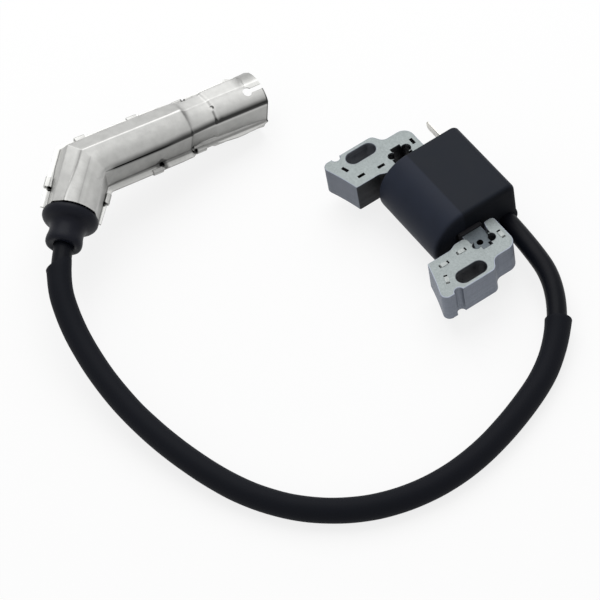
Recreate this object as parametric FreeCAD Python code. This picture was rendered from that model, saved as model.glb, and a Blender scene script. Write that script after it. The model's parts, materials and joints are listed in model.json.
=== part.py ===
"""Armature ignition coil of a small engine, with its high-tension lead and shielded plug boot.

Millimetres, +Z up. The coil unit stands on its case; the flywheel lies towards -Y and the lead
leaves towards +X. The origin is on the ground, under the middle of the coil unit alone.
"""
import FreeCAD, Part
import math
import os

V = FreeCAD.Vector

# ---- pole legs -----------------------------------------------------------------------------
SLOT_SPACING = 68.0         # between the two mounting slots, along X
SLOT_WIDTH = 5.5            # clearance for a 5 mm screw
SLOT_LENGTH = 11.8          # end to end, along Y, to set the air gap
STACK = 12.3                # thickness of the lamination stack
FLYWHEEL_RADIUS = 101.6     # of the pole faces
POLE_RISE = 7.6             # from the slots' line to the flywheel's nearest point
POLE_CORNER = 0.6
NOSE_ROUND = 2.4
LEG_OUT = 4.2               # slot centre to the outer flank
LEG_IN = 12.2               # slot centre to the inner flank
LOBE_OUT = 0.1              # slot centre to the rear lobe's outer side, inwards
SHOULDER = 7.3              # slot centre to the flank's end, where the leg narrows
LOBE_BACK = 19.7            # slot centre to the leg's back
UPPER_EAR = 15.0            # slot centre to the ear behind the bar, inwards
LOWER_EAR = 13.45           # slot centre to the ear before the bar, inwards
EDGE_SOFT = 0.25
GROOVE_RADIUS = 1.65        # locating groove down the outer flank
GROOVE_PLACE = -8.1
PIN_HOLE_RADIUS = 1.2
MARK_LENGTH = 3.6           # interlock dimples of the laminations
MARK_WIDTH = 1.4
MARK_DEPTH = 0.45
MARK_RISE = 0.15
PIT_LENGTH = 2.9            # the same dimples seen from the far leg's hollow side
PIT_WIDTH = 0.9
PIT_DEPTH = 0.9

# ---- core bar and its keyed seat ---------------------------------------------------------------
BAR_WIDTH = 7.7             # along Y
BAR_THICK = 8.3             # along Z
BAR_PLACE = 10.95           # bar's middle behind the slots' line
HEAD_WIDTH = 3.7            # of the head's end
SEAT_END = 5.4              # slot centre to the end of the bar's seat, inwards
SEAT_NECK = 10.0            # slot centre to the end of the seat's neck, inwards
FRONT_LOBE_RADIUS = 1.35
REAR_LOBE_RADIUS = 1.7
FRONT_LOBE_OFFSET = 3.05    # lobe centre before the bar's middle
REAR_LOBE_OFFSET = 2.95     # lobe centre behind the bar's middle
LOBE_INSET = 8.15           # slot centre to the lobes' centres, inwards
BAR_FIT = 0.05              # round the keyed head
TONGUE_SHORT = 0.6          # the plain end stops this far inside the neck

# ---- coil case ---------------------------------------------------------------------------------
CASE_GAP = 1.9              # from each leg's rear ear to the case's end face
CASE_WALL = 1.6
COIL_COVER = 1.0            # resin over and under the finished coil
FRONT_COVER = 2.85          # resin before the finished coil
MODULE_ROOM = 5.1           # behind the circuit board
CASE_BACK_ROUND = 4.5
CASE_FOOT_ROUND = 1.5
CASE_END_SOFT = 0.9
RESIN_SINK = 0.5            # potting below the case's rim
SOCKET_RADIUS = 5.1         # moulded round the lead
SOCKET_LENGTH = 12.0
SOCKET_SOFT = 1.0
LEAD_BEHIND = 26.3          # lead's axis behind the slots' line
LEAD_BELOW_BAR = 3.0        # lead's axis below the bar's middle

# ---- windings, as offsets from the bar ---------------------------------------------------------
BORE_CLEARANCE = 0.15
PRIMARY_WALL = 0.8
PRIMARY_BUILD = 1.4
BOBBIN_GAP = 0.3
SECONDARY_WALL = 0.8
SECONDARY_BUILD = 2.8
FLANGE_PROUD = 0.1
FLANGE = 0.8
COIL_SHORT = 1.3            # between the bobbins' ends and the case's end walls
TUNNEL_PROUD = 1.2          # the bobbin's rim outside the case
SECTIONS = 4                # of the secondary winding
RIB_NOTCH = 3.0             # where the wire crosses from one section to the next

# ---- switching module --------------------------------------------------------------------------
BOARD_THICK = 1.0
BOARD_GAP = 1.45            # between the secondary bobbin and the board
BOARD_END_ROOM = 1.2        # from the case's far inner wall
BOARD_EDGE_ROOM = 0.9       # from the case's inner walls, above and below
BOARD_TO_SPIKE = 1.3        # from the board's near end to the lead's contact
TRANSISTOR_BODY = (10.0, 4.4, 9.0)
TRANSISTOR_TAB = (10.0, 1.3, 6.0)
TRANSISTOR_ROOM = 0.51      # between the resistors' feet and the transistor
TRANSISTOR_HEIGHT = 1.8
PIN_SPACING = 2.54
PIN_THICK = 0.6
CHIP_SIZE = (4.9, 1.6, 3.9)
CHIP_PLACE = (0.9, 5.5)
RESISTOR_RADIUS = 0.9
RESISTOR_LENGTH = 3.6
RESISTOR_HEIGHTS = (1.6, 3.7, 11.6)
RESISTOR_PLACE = 1.0
WIRE_RADIUS = 0.25
SOLDER_RADIUS = 0.35
CAPACITOR_SIZE = (3.2, 4.6, 6.0)
CAPACITOR_PLACE = (3.7, 12.6)       # from the board's near end and its lower edge
DIODE_RADIUS = 1.2
DIODE_LENGTH = 5.0
DIODE_PLACE = (2.0, 1.6)            # from the board's near end and its lower edge

# ---- terminals ---------------------------------------------------------------------------------
BLADE_WIDTH = 4.0
BLADE_THICK = 0.6
BLADE_REACH = 13.0          # outside the case
BLADE_INSIDE = 3.5          # inside the end wall
BLADE_FROM_BOARD = 2.4      # blade's middle behind the board
BLADE_BELOW_TOP = 6.8       # blade's middle below the case's top
BLADE_TIP_ROUND = 1.6
STRAP_WIDTH = 3.0
STRAP_THICK = 0.4
STRAP_FROM_WALL = 0.5
STRAP_CLEARANCE = 0.1
SPIKE_BASE_RADIUS = 2.4
SPIKE_BASE_THICK = 0.8
SPIKE_LENGTH = 3.0
TAIL_RADIUS = 0.4

# ---- high-tension lead -------------------------------------------------------------------------
LEAD_DIAMETER = 7.0
CONDUCTOR_RADIUS = 0.7
CONDUCTOR_BORE = 0.75
SLEEVE_DIAMETER = 8.7
SLEEVE_WALL = 0.65
LEAD_IN_CASE = 8.0
LEAD_IN_BOOT = 9.0
SLEEVE_FROM_CASE = 46.0     # bare lead before the sleeve, along the lead
SLEEVE_FROM_BOOT = 7.0      # bare lead after it
ARC_SHARE = 0.45            # of the shorter run, taken by each arc of the route
STRAIGHT_OUT = 10.9         # level run out of the case, to the route's first corner
# The route's other points: X and Y from the case's end and the lead's axis, Z above the ground.
ROUTE = [
    (33.4, -2.5, 8.5), (55.4, -20.0, 4.4), (67.9, -47.5, 4.4),
    (73.4, -74.0, 4.4), (69.4, -98.5, 4.4), (56.4, -119.0, 4.4), (37.4, -133.0, 4.4),
    (15.4, -141.5, 6.0), (-9.1, -147.0, 8.0), (-31.1, -148.5, 10.5), (-54.1, -146.7, 14.5),
    (-73.3, -140.6, 20.5), (-87.2, -126.4, 22.9),
]

# ---- plug boot, measured from its elbow ----------------------------------------------------------
BOOT_BEND = 47.7            # degrees between the two tubes
BOOT_ROLL = 23.3            # degrees, the mouth lying down on the ground
LOWER_TUBE = 19.6           # elbow to the shield's rim, round the lead
UPPER_TUBE = 72.5           # elbow to the shield's mouth
NECK = 12.8                 # rubber beyond the shield's rim
SHEET = 0.45
ELBOW_RADIUS = 11.0
RIM_RADIUS = 10.6
STEP_RADIUS = 10.7
WAIST_RADIUS = 9.85
END_RADIUS = 10.3
WAIST_START = 40.0
WAIST_END = 50.0
STEP_RUN = 0.9
SEAM_WIDTH = 2.0            # of the flanges along both seams
SEAM_END = 2.0              # flanges stop short of the mouth
TAB_LENGTH = 4.0
TAB_FOLD = 1.2              # of each tab over the other shell's flange
OUTER_TABS = (1.5, 26.0, 43.5)      # along the long tube, on the bend's outside
INNER_TABS = (28.0, 47.5)           # along the long tube, on the bend's inside
LOWER_TAB = 7.4                     # along the short tube, both sides
KEYHOLE_RADIUS = 1.75
KEYHOLE_PLACE = 6.0         # from the mouth
KEYHOLE_SLOT = 1.8
MOUTH_FLARE = 0.35          # by which the shield's mouth opens out
MOUTH_FLARE_RUN = 1.2
DRAIN_RADIUS = 1.2
RUBBER_GAP = 0.05
RUBBER_FLANGE_RADIUS = 10.4
RUBBER_FLANGE = 3.2
NECK_RADIUS = 6.65
NECK_WAIST = 6.2
BORE_RUNNING = 0.05         # lead in the boot's bore
PASSAGE_RADIUS = 2.4
SOCKET_START = 22.0
SOCKET_SPAN = 12.0
PLUG_NUT_RADIUS = 3.2
SOCKET_WALL = 0.5
SOCKET_SPLIT = 0.8
CLIP_WIRE = 0.35
CLIP_OPENING = 60.0         # degrees
INSULATOR_RADIUS = 5.3
ENTRY_FLARE = 1.0           # lead-in cone of the rubber's mouth
SOCKET_LIP = 0.4            # lead-in of the socket's mouth
SOCKET_LIP_RUN = 0.8
TERMINAL_DISC = 0.8
TERMINAL_SPIKE = 5.0
STRIP_WIDTH = 3.0
STRIP_THICK = 0.8
PLAY = 0.05                 # between pieces that only touch

# ---- places that follow from the sizes -----------------------------------------------------------
PRIMARY_IN = BORE_CLEARANCE + PRIMARY_WALL
PRIMARY_OUT = PRIMARY_IN + PRIMARY_BUILD
SECONDARY_BORE = PRIMARY_OUT + BOBBIN_GAP
SECONDARY_IN = SECONDARY_BORE + SECONDARY_WALL
SECONDARY_OUT = SECONDARY_IN + SECONDARY_BUILD
COIL_OUT = SECONDARY_OUT + FLANGE_PROUD
CASE_HEIGHT = BAR_THICK + 2 * (COIL_OUT + COIL_COVER + CASE_WALL)
CASE_FRONT = BAR_WIDTH / 2 - BAR_PLACE + COIL_OUT + FRONT_COVER + CASE_WALL
SLOT_X = SLOT_SPACING / 2
NOSE_MIDDLE = math.sqrt((FLYWHEEL_RADIUS + NOSE_ROUND)**2 - (SLOT_X + LEG_OUT - NOSE_ROUND)**2)
POLE_TIP = POLE_RISE + FLYWHEEL_RADIUS - NOSE_MIDDLE + NOSE_ROUND
REAR = LEAD_BEHIND + SOCKET_RADIUS
SLOT_Y = (POLE_TIP - REAR) / 2
LEG_Z = (CASE_HEIGHT - STACK) / 2
CASE_END = SLOT_X - UPPER_EAR - CASE_GAP
CASE_LONG = 2 * CASE_END
CASE_INSIDE = CASE_END - CASE_WALL
BAR_Y = SLOT_Y + BAR_PLACE
BAR_Z = CASE_HEIGHT / 2
COIL_END = CASE_INSIDE - COIL_SHORT
BOARD_Y = BAR_Y + BAR_WIDTH / 2 + COIL_OUT + BOARD_GAP
BOARD_BACK = BOARD_Y + BOARD_THICK
BOARD_X = -CASE_INSIDE + BOARD_END_ROOM
BOARD_Z = CASE_WALL + BOARD_EDGE_ROOM
BOARD_LENGTH = CASE_END - LEAD_IN_CASE - SPIKE_BASE_THICK - BOARD_TO_SPIKE - BOARD_X
TRANSISTOR_PLACE = RESISTOR_PLACE + 7 / 5 * RESISTOR_LENGTH + SOLDER_RADIUS + TRANSISTOR_ROOM
CASE_REAR = BOARD_BACK + MODULE_ROOM + CASE_WALL
BLADE_Y = BOARD_BACK + BLADE_FROM_BOARD
BLADE_Z = CASE_HEIGHT - BLADE_BELOW_TOP
LEAD_Y = SLOT_Y + LEAD_BEHIND
LEAD_Z = BAR_Z - LEAD_BELOW_BAR
LEAD_RADIUS = LEAD_DIAMETER / 2
BORE = LEAD_RADIUS + BORE_RUNNING


# ---- helpers ---------------------------------------------------------------------------------------
def box(size, corner):
    """Box of the given (x, y, z) size from its lowest corner."""
    return Part.makeBox(size[0], size[1], size[2], V(*corner))


def span(low, high):
    """Box between two opposite corners."""
    return box([b - a for a, b in zip(low, high)], low)


def rounded_wire(corners):
    """Closed outline in the XY plane through (x, y, radius) corners, each one rounded."""
    turns = []
    for index, (x, y, radius) in enumerate(corners):
        corner = V(x, y, 0)
        back = (V(*corners[index - 1][:2], 0) - corner).normalize()
        ahead = (V(*corners[(index + 1) % len(corners)][:2], 0) - corner).normalize()
        half = back.getAngle(ahead) / 2
        reach = radius / math.tan(half)
        middle = corner + (back + ahead).normalize() * (radius / math.sin(half) - radius)
        turns.append((corner + back * reach, middle, corner + ahead * reach))
    edges = []
    for index, (start, middle, stop) in enumerate(turns):
        if (stop - start).Length > PLAY / 10:
            edges.append(Part.Arc(start, middle, stop).toShape())
        following = turns[(index + 1) % len(turns)][0]
        if (following - stop).Length > PLAY / 10:
            edges.append(Part.makeLine(stop, following))
    return Part.Wire(edges)


def prism(corners, height):
    """Rounded outline in XY, drawn up by a height."""
    return Part.Face(rounded_wire(corners)).extrude(V(0, 0, height))


def along_x(shape, start):
    """Turn a prism drawn in (y, z) and extruded along its own Z so that it runs along X."""
    axes = FreeCAD.Rotation(V(0, 1, 0), V(0, 0, 1), V(1, 0, 0), "XYZ")
    shape.Placement = FreeCAD.Placement(V(start, 0, 0), axes)
    return shape


def rod(start, stop, radius):
    """Cylinder between two points."""
    axis = V(*stop) - V(*start)
    return Part.makeCylinder(radius, axis.Length, V(*start), axis)


def fused(shapes):
    """One solid from shapes that touch or overlap."""
    return shapes[0].multiFuse(shapes[1:]).removeSplitter() if len(shapes) > 1 else shapes[0]


def turned(profile):
    """Solid of revolution about X from (x, radius) points, closed along the axis."""
    points = [V(profile[0][0], 0, 0)] + [V(x, r, 0) for x, r in profile] + [V(profile[-1][0], 0, 0)]
    face = Part.Face(Part.makePolygon(points + points[:1]))
    return face.revolve(V(0, 0, 0), V(1, 0, 0), 360)


# ---- legs and bar -----------------------------------------------------------------------------------
def leg_outline():
    """Outline of a pole leg from its slot's centre, +X outwards, before the pole face is cut."""
    front = -POLE_RISE - FLYWHEEL_RADIUS / 4
    ear = BAR_WIDTH / 2
    return [
        (-LEG_IN, front, 0), (LEG_OUT, front, 0), (LEG_OUT, SHOULDER, 2.6),
        (-LOBE_OUT, SHOULDER + 2.4, 3.0), (-LOBE_OUT, LOBE_BACK, 4.2), (-UPPER_EAR, LOBE_BACK, 1.3),
        (-UPPER_EAR, BAR_PLACE + ear + 1.0, 0.9), (1.4 - LEG_IN, BAR_PLACE + ear - 0.1, 0),
        (1.4 - LEG_IN, BAR_PLACE - ear + 0.1, 0), (-LOWER_EAR, BAR_PLACE - ear - 0.3, 1.8),
        (-LOWER_EAR, 2.3, 3.0), (-LEG_IN, -0.3, 3.0),
    ]


def bar_seat(gap, lobes):
    """Keyed shape of the bar's seat, or of its head when a gap is left all round it."""
    half = BAR_WIDTH / 2
    inner = -SEAT_NECK - REAR_LOBE_RADIUS / 2
    front, rear = BAR_PLACE - FRONT_LOBE_OFFSET, BAR_PLACE + REAR_LOBE_OFFSET
    shapes = [
        span((-UPPER_EAR - CASE_GAP, BAR_PLACE - half, 0), (-SEAT_NECK - gap, BAR_PLACE + half, STACK)),
        span((inner, front, 0), (-LOBE_INSET, rear, STACK)),
        span((inner, BAR_PLACE - HEAD_WIDTH / 2 + gap, 0),
             (-SEAT_END - gap, BAR_PLACE + HEAD_WIDTH / 2 - gap, STACK)),
    ]
    for place, radius in zip((front, rear), (FRONT_LOBE_RADIUS, REAR_LOBE_RADIUS)):
        if place in lobes:
            shapes.append(rod((-LOBE_INSET, place, 0), (-LOBE_INSET, place, STACK), radius - gap))
    return fused(shapes)


def is_pole_corner(edge, place):
    """Whether an edge is the upright corner between the pole face and a flank."""
    low, high = edge.BoundBox.ZMin, edge.BoundBox.ZMax
    middle = edge.CenterOfMass
    return high - low > STACK / 2 and abs(middle.x - place) < PLAY and middle.y < GROOVE_PLACE


def plain_leg():
    """Leg with its slot, groove, seat and pole face, from the slot's centre and its underside."""
    leg = prism(leg_outline(), STACK)
    centre = V(-SLOT_X, -POLE_RISE - FLYWHEEL_RADIUS, 0)
    leg = leg.cut(Part.makeCylinder(FLYWHEEL_RADIUS, STACK, centre))
    leg = leg.makeFillet(POLE_CORNER, [e for e in leg.Edges if is_pole_corner(e, -LEG_IN)])
    leg = leg.makeFillet(NOSE_ROUND, [e for e in leg.Edges if is_pole_corner(e, LEG_OUT)])
    radius = SLOT_WIDTH / 2
    end = SLOT_LENGTH / 2 - radius
    slot = fused([span((-radius, -end, 0), (radius, end, STACK)),
                  rod((0, -end, 0), (0, -end, STACK), radius),
                  rod((0, end, 0), (0, end, STACK), radius)])
    groove = rod((LEG_OUT, GROOVE_PLACE, 0), (LEG_OUT, GROOVE_PLACE, STACK), GROOVE_RADIUS)
    seat = bar_seat(0, (BAR_PLACE - FRONT_LOBE_OFFSET, BAR_PLACE + REAR_LOBE_OFFSET))
    leg = leg.cut(fused([groove, slot]))
    leg = leg.makeFillet(EDGE_SOFT, [e for e in leg.Edges if is_level(e)])
    return leg.cut(seat)


def is_level(edge):
    """Whether an edge lies in a level plane."""
    return edge.BoundBox.ZMax - edge.BoundBox.ZMin < PLAY / 10


# Interlock dimples: X and Y from the slot's centre, and the angle of each one's long side.
MARKS = [(-8.5, -5.5, 90), (-2.6, -8.5, -18), (-9.4, 2.4, 90), (-7.0, 17.5, 0)]


def placed(shape, mark):
    """Move a dimple's tool from the origin to its mark on the leg's top."""
    x, y, angle = mark
    shape.Placement = FreeCAD.Placement(V(x, y, STACK), FreeCAD.Rotation(V(0, 0, 1), angle))
    return shape


def mark_arc(length, width, height, depth):
    """Lying cylinder across a dimple: its top is at the height, and it is as long at the depth."""
    drop = height + depth
    radius = (length**2 / 4 + drop**2) / (2 * drop)
    return Part.makeCylinder(radius, width, V(0, -width / 2, height - radius), V(0, 1, 0))


def near_leg():
    """Leg at the lead's end, its interlock dimples standing up between their two slits."""
    leg = plain_leg()
    for mark in MARKS:
        pocket = box((MARK_LENGTH, MARK_WIDTH, 2 * MARK_DEPTH),
                     (-MARK_LENGTH / 2, -MARK_WIDTH / 2, -MARK_DEPTH))
        bump = mark_arc(MARK_LENGTH, MARK_WIDTH, MARK_RISE, MARK_DEPTH).common(pocket)
        leg = leg.cut(placed(pocket.cut(bump), mark))
        leg = leg.fuse(placed(bump, mark))
    leg.translate(V(SLOT_X, SLOT_Y, LEG_Z))
    return leg


def far_leg():
    """The same stamping turned over, its dimples sunk into the top."""
    leg = plain_leg()
    for mark in MARKS:
        pit = mark_arc(PIT_LENGTH, PIT_WIDTH, PIT_DEPTH, 0)
        pit.rotate(V(0, 0, 0), V(1, 0, 0), 180)
        leg = leg.cut(placed(pit, mark))
    leg.translate(V(SLOT_X, SLOT_Y, LEG_Z))
    return leg.mirror(V(0, 0, 0), V(1, 0, 0))


def centre_bar():
    """Core bar: keyed head in the near leg, plain tongue in the far one."""
    head = bar_seat(BAR_FIT, (BAR_PLACE - FRONT_LOBE_OFFSET,))
    head = head.common(span((-UPPER_EAR - CASE_GAP, 0, 0), (0, LOBE_BACK, BAR_THICK)))
    hole = rod((-LOBE_INSET - 0.5, BAR_PLACE - 1.0, BAR_THICK / 2),
               (-LOBE_INSET - 0.5, BAR_PLACE - 1.0, BAR_THICK), PIN_HOLE_RADIUS)
    head = head.cut(hole)
    head.translate(V(SLOT_X, SLOT_Y, BAR_Z - BAR_THICK / 2))
    half = BAR_WIDTH / 2
    shank = span((-SLOT_X + SEAT_NECK + TONGUE_SHORT, BAR_Y - half, BAR_Z - BAR_THICK / 2),
                 (CASE_END, BAR_Y + half, BAR_Z + BAR_THICK / 2))
    return fused([shank, head])


# ---- case and potting --------------------------------------------------------------------------------
def case_section(inset):
    """Case's section in (y, z): half-round towards the flywheel, square behind."""
    front, back = SLOT_Y - CASE_FRONT + inset, CASE_REAR - inset
    round_front = CASE_HEIGHT / 2 - inset
    return [
        (front, inset, round_front), (back, inset, CASE_FOOT_ROUND - inset / 2),
        (back, CASE_HEIGHT - inset, CASE_BACK_ROUND - inset),
        (front, CASE_HEIGHT - inset, round_front),
    ]


def case_cavity():
    """Space inside the case, open below."""
    inside = along_x(prism(case_section(CASE_WALL), 2 * CASE_INSIDE), -CASE_INSIDE)
    mouth = span((-CASE_INSIDE, SLOT_Y - CASE_FRONT + CASE_HEIGHT / 2, 0),
                 (CASE_INSIDE, CASE_REAR - CASE_WALL, 2 * CASE_WALL))
    return fused([inside, mouth])


def coil_housing():
    """Moulded case with the lead's socket and openings for the bobbin, lead and blade."""
    case = along_x(prism(case_section(0), CASE_LONG), -CASE_END)
    ends = [e for e in case.Edges if e.BoundBox.XMax - e.BoundBox.XMin < PLAY / 10]
    case = case.makeFillet(CASE_END_SOFT, ends)
    socket = rod((CASE_END - SOCKET_LENGTH, LEAD_Y, LEAD_Z), (CASE_END, LEAD_Y, LEAD_Z),
                 SOCKET_RADIUS)
    rims = [e for e in socket.Edges if e.BoundBox.XMax - e.BoundBox.XMin < PLAY / 10]
    socket = socket.makeFillet(SOCKET_SOFT, rims)
    case = fused([case, socket]).cut(case_cavity())
    case = case.cut(round_bar(PRIMARY_IN, -CASE_END, CASE_END))
    case = case.cut(rod((COIL_END - LEAD_IN_CASE, LEAD_Y, LEAD_Z),
                        (CASE_END, LEAD_Y, LEAD_Z), LEAD_RADIUS))
    return case.cut(blade_straight())


def potting_resin(inner):
    """Resin that fills the case round the finished coil and the module."""
    resin = case_cavity().common(span((-CASE_END, -REAR, RESIN_SINK), (CASE_END, REAR, CASE_HEIGHT)))
    resin = resin.cut(round_bar(COIL_OUT, -COIL_END, COIL_END))
    resin = resin.cut(round_bar(PRIMARY_IN, -CASE_END, CASE_END))
    for piece in inner:
        resin = resin.cut(piece)
    return resin


# ---- bobbins and windings ------------------------------------------------------------------------------
def round_bar(offset, start, stop):
    """Solid round the bar's line, at an offset from the bar's section, from start to stop in X."""
    half_y, half_z = BAR_WIDTH / 2 + offset, BAR_THICK / 2 + offset
    corners = [(y, z, offset) for y, z in ((-half_y, -half_z), (half_y, -half_z),
                                           (half_y, half_z), (-half_y, half_z))]
    solid = along_x(prism(corners, stop - start), start)
    solid.translate(V(0, BAR_Y, BAR_Z))
    return solid


def tube_round_bar(inner, outer, start, stop):
    """Tube round the bar's line between two offsets."""
    return round_bar(outer, start, stop).cut(round_bar(inner, start, stop))


def flanged_tube(inner, wall, edge, start, stop):
    """Bobbin: a tube with a flange at each end of the coil."""
    pieces = [tube_round_bar(inner, inner + wall, start, stop)]
    for low in (-COIL_END, COIL_END - FLANGE):
        pieces.append(tube_round_bar(inner, edge, low, low + FLANGE))
    return pieces


def primary_bobbin():
    """Inner bobbin, whose tunnel reaches out of both ends of the case."""
    reach = CASE_END + TUNNEL_PROUD
    pieces = flanged_tube(BORE_CLEARANCE, PRIMARY_WALL, SECONDARY_BORE, -reach, reach)
    return fused(pieces).cut(strap_window())


def strap_window():
    """Opening in the tunnel's rear wall through which the ground strap reaches the bar."""
    room = STRAP_CLEARANCE
    return span((strap_x() - room, BAR_Y + BAR_WIDTH / 2, BAR_Z - STRAP_WIDTH / 2 - room),
                (strap_x() + STRAP_THICK + room, BAR_Y + BAR_WIDTH / 2 + 2 * PRIMARY_IN,
                 BAR_Z + STRAP_WIDTH / 2 + room))


def rib_places():
    """Middles of the ribs that part the secondary winding's sections."""
    room = 2 * (COIL_END - FLANGE)
    return [-room / 2 + room * index / SECTIONS for index in range(1, SECTIONS)]


def secondary_bobbin():
    """Outer bobbin with ribs, each one notched where the wire crosses it."""
    pieces = flanged_tube(SECONDARY_BORE, SECONDARY_WALL, COIL_OUT, -COIL_END, COIL_END)
    for place in rib_places():
        rib = tube_round_bar(SECONDARY_BORE, COIL_OUT, place - FLANGE / 2, place + FLANGE / 2)
        pieces.append(rib.cut(rib_notch(place)))
    return fused(pieces)


def rib_notch(place):
    """Gap in a rib, on top of the coil."""
    bottom = BAR_Z + BAR_THICK / 2 + SECONDARY_IN
    return span((place - FLANGE / 2, BAR_Y - RIB_NOTCH / 2, bottom),
                (place + FLANGE / 2, BAR_Y + RIB_NOTCH / 2, bottom + 2 * SECONDARY_BUILD))


def primary_winding():
    """Primary turns between the inner bobbin's flanges."""
    return tube_round_bar(PRIMARY_IN, PRIMARY_OUT, -COIL_END + FLANGE, COIL_END - FLANGE)


def secondary_winding():
    """Secondary turns in their sections, joined through the ribs' notches."""
    winding = tube_round_bar(SECONDARY_IN, SECONDARY_OUT, -COIL_END + FLANGE, COIL_END - FLANGE)
    for place in rib_places():
        rib = tube_round_bar(SECONDARY_BORE, COIL_OUT, place - FLANGE / 2, place + FLANGE / 2)
        winding = winding.cut(rib.cut(rib_notch(place)))
    return winding


# ---- switching module -----------------------------------------------------------------------------------
def on_board(x, z):
    """Point on the board's back, x from the board's far end, or back from its near end if negative."""
    return BOARD_X + x + (BOARD_LENGTH if x < 0 else 0), BOARD_BACK, BOARD_Z + z


def circuit_board():
    """Board behind the coil, its back towards the case's rear wall."""
    return box((BOARD_LENGTH, BOARD_THICK, CASE_HEIGHT - 2 * BOARD_Z), (BOARD_X, BOARD_Y, BOARD_Z))


def switching_transistor():
    """Power transistor lying on the board, its pins bent down to it."""
    x, y, z = on_board(TRANSISTOR_PLACE, TRANSISTOR_HEIGHT)
    pin_room = 2 * PIN_THICK
    body = box(TRANSISTOR_BODY, (x, y, z + pin_room))
    tab_z = z + pin_room + TRANSISTOR_BODY[2]
    tab = box(TRANSISTOR_TAB, (x, y, tab_z))
    hole_at = (x + TRANSISTOR_TAB[0] / 2, tab_z + TRANSISTOR_TAB[2] / 2)
    tab = tab.cut(rod((hole_at[0], y, hole_at[1]), (hole_at[0], y + TRANSISTOR_TAB[1], hole_at[1]),
                      TRANSISTOR_TAB[2] / 4))
    pieces = [body, tab]
    for step in (-1, 0, 1):
        left = x + TRANSISTOR_BODY[0] / 2 + step * PIN_SPACING - PIN_THICK / 2
        pieces.append(box((PIN_THICK, TRANSISTOR_BODY[1] / 2, PIN_THICK), (left, y, z)))
        pieces.append(box((PIN_THICK, PIN_THICK, pin_room),
                          (left, y + TRANSISTOR_BODY[1] / 2 - PIN_THICK, z)))
    return fused(pieces)


def control_chip():
    """Ignition timing chip with four pins down each side."""
    x, y, z = on_board(*CHIP_PLACE)
    pieces = [box(CHIP_SIZE, (x, y, z))]
    pitch = CHIP_SIZE[0] / 4
    for index in range(4):
        left = x + pitch * (index + 0.5) - PIN_THICK / 3
        pieces.append(box((PIN_THICK * 2 / 3, PIN_THICK / 2, CHIP_SIZE[2] + 3 * PIN_THICK),
                          (left, y, z - 1.5 * PIN_THICK)))
    return fused(pieces)


def axial_part(radius, length, start, axis):
    """Round component on the board with a wire bent down at each end."""
    along = V(*axis)
    middle = V(*start) + V(0, radius, 0)
    wire = length / 5
    body = Part.makeCylinder(radius, length, middle + along * wire, along)
    thread = Part.makeCylinder(WIRE_RADIUS, length + 2 * wire, middle, along)
    pieces = [body, thread]
    for end in (middle, middle + along * (length + 2 * wire)):
        foot = V(end.x, start[1], end.z)
        pieces.append(Part.makeCylinder(SOLDER_RADIUS, radius + SOLDER_RADIUS, foot, V(0, 1, 0)))
    return fused(pieces)


def resistors():
    """Three resistors beside the transistor."""
    parts = []
    for height in RESISTOR_HEIGHTS:
        start = on_board(RESISTOR_PLACE, height)
        parts.append(axial_part(RESISTOR_RADIUS, RESISTOR_LENGTH, start, (1, 0, 0)))
    return Part.makeCompound(parts)


def timing_capacitor():
    """Film capacitor at the board's near end."""
    solid = box(CAPACITOR_SIZE, on_board(-CAPACITOR_PLACE[0], CAPACITOR_PLACE[1]))
    uprights = [e for e in solid.Edges if e.BoundBox.YMax - e.BoundBox.YMin > CAPACITOR_SIZE[1] / 2]
    return solid.makeFillet(PIN_THICK, uprights)


def suppression_diode():
    """Diode that stands along Z at the board's near end."""
    start = on_board(-DIODE_PLACE[0], DIODE_PLACE[1])
    return axial_part(DIODE_RADIUS, DIODE_LENGTH, start, (0, 0, 1))


# ---- terminals of the coil unit ----------------------------------------------------------------------------
def blade_straight():
    """Stop blade from its rounded tip to the inside of the case."""
    x = -CASE_END - BLADE_REACH
    length = BLADE_REACH + CASE_WALL + BLADE_INSIDE
    half = BLADE_WIDTH / 2
    outline = [(0, -half, BLADE_TIP_ROUND), (length, -half, 0), (length, half, 0),
               (0, half, BLADE_TIP_ROUND)]
    blade = prism(outline, BLADE_THICK)
    blade.rotate(V(0, 0, 0), V(1, 0, 0), 90)
    blade.translate(V(x, BLADE_Y + BLADE_THICK / 2, BLADE_Z))
    return blade


def stop_terminal():
    """Blade for the engine's stop wire, with a foot bent down to the board."""
    end = -CASE_INSIDE + BLADE_INSIDE
    half = BLADE_WIDTH / 2 - BLADE_THICK
    foot = span((end - BLADE_THICK, BOARD_BACK, BLADE_Z - half), (end, BLADE_Y, BLADE_Z + half))
    return fused([blade_straight(), foot])


def strap_x():
    """Face of the ground strap nearer the case's far end wall."""
    return -CASE_INSIDE + STRAP_FROM_WALL


def ground_strap():
    """Strip from the board, past the coil's end, onto the core bar."""
    return span((strap_x(), BAR_Y + BAR_WIDTH / 2, BAR_Z - STRAP_WIDTH / 2),
                (strap_x() + STRAP_THICK, BOARD_Y, BAR_Z + STRAP_WIDTH / 2))


def output_spike():
    """Contact in the lead's core, with its tail on the secondary winding."""
    face = CASE_END - LEAD_IN_CASE
    base = rod((face - SPIKE_BASE_THICK, LEAD_Y, LEAD_Z), (face, LEAD_Y, LEAD_Z),
               SPIKE_BASE_RADIUS)
    spike = rod((face, LEAD_Y, LEAD_Z), (face + SPIKE_LENGTH, LEAD_Y, LEAD_Z),
                CONDUCTOR_RADIUS)
    middle = face - SPIKE_BASE_THICK / 2
    winding = BAR_Y + BAR_WIDTH / 2 + SECONDARY_OUT
    tail = rod((middle, winding, LEAD_Z), (middle, LEAD_Y, LEAD_Z), TAIL_RADIUS)
    return fused([base, spike, tail])


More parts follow.
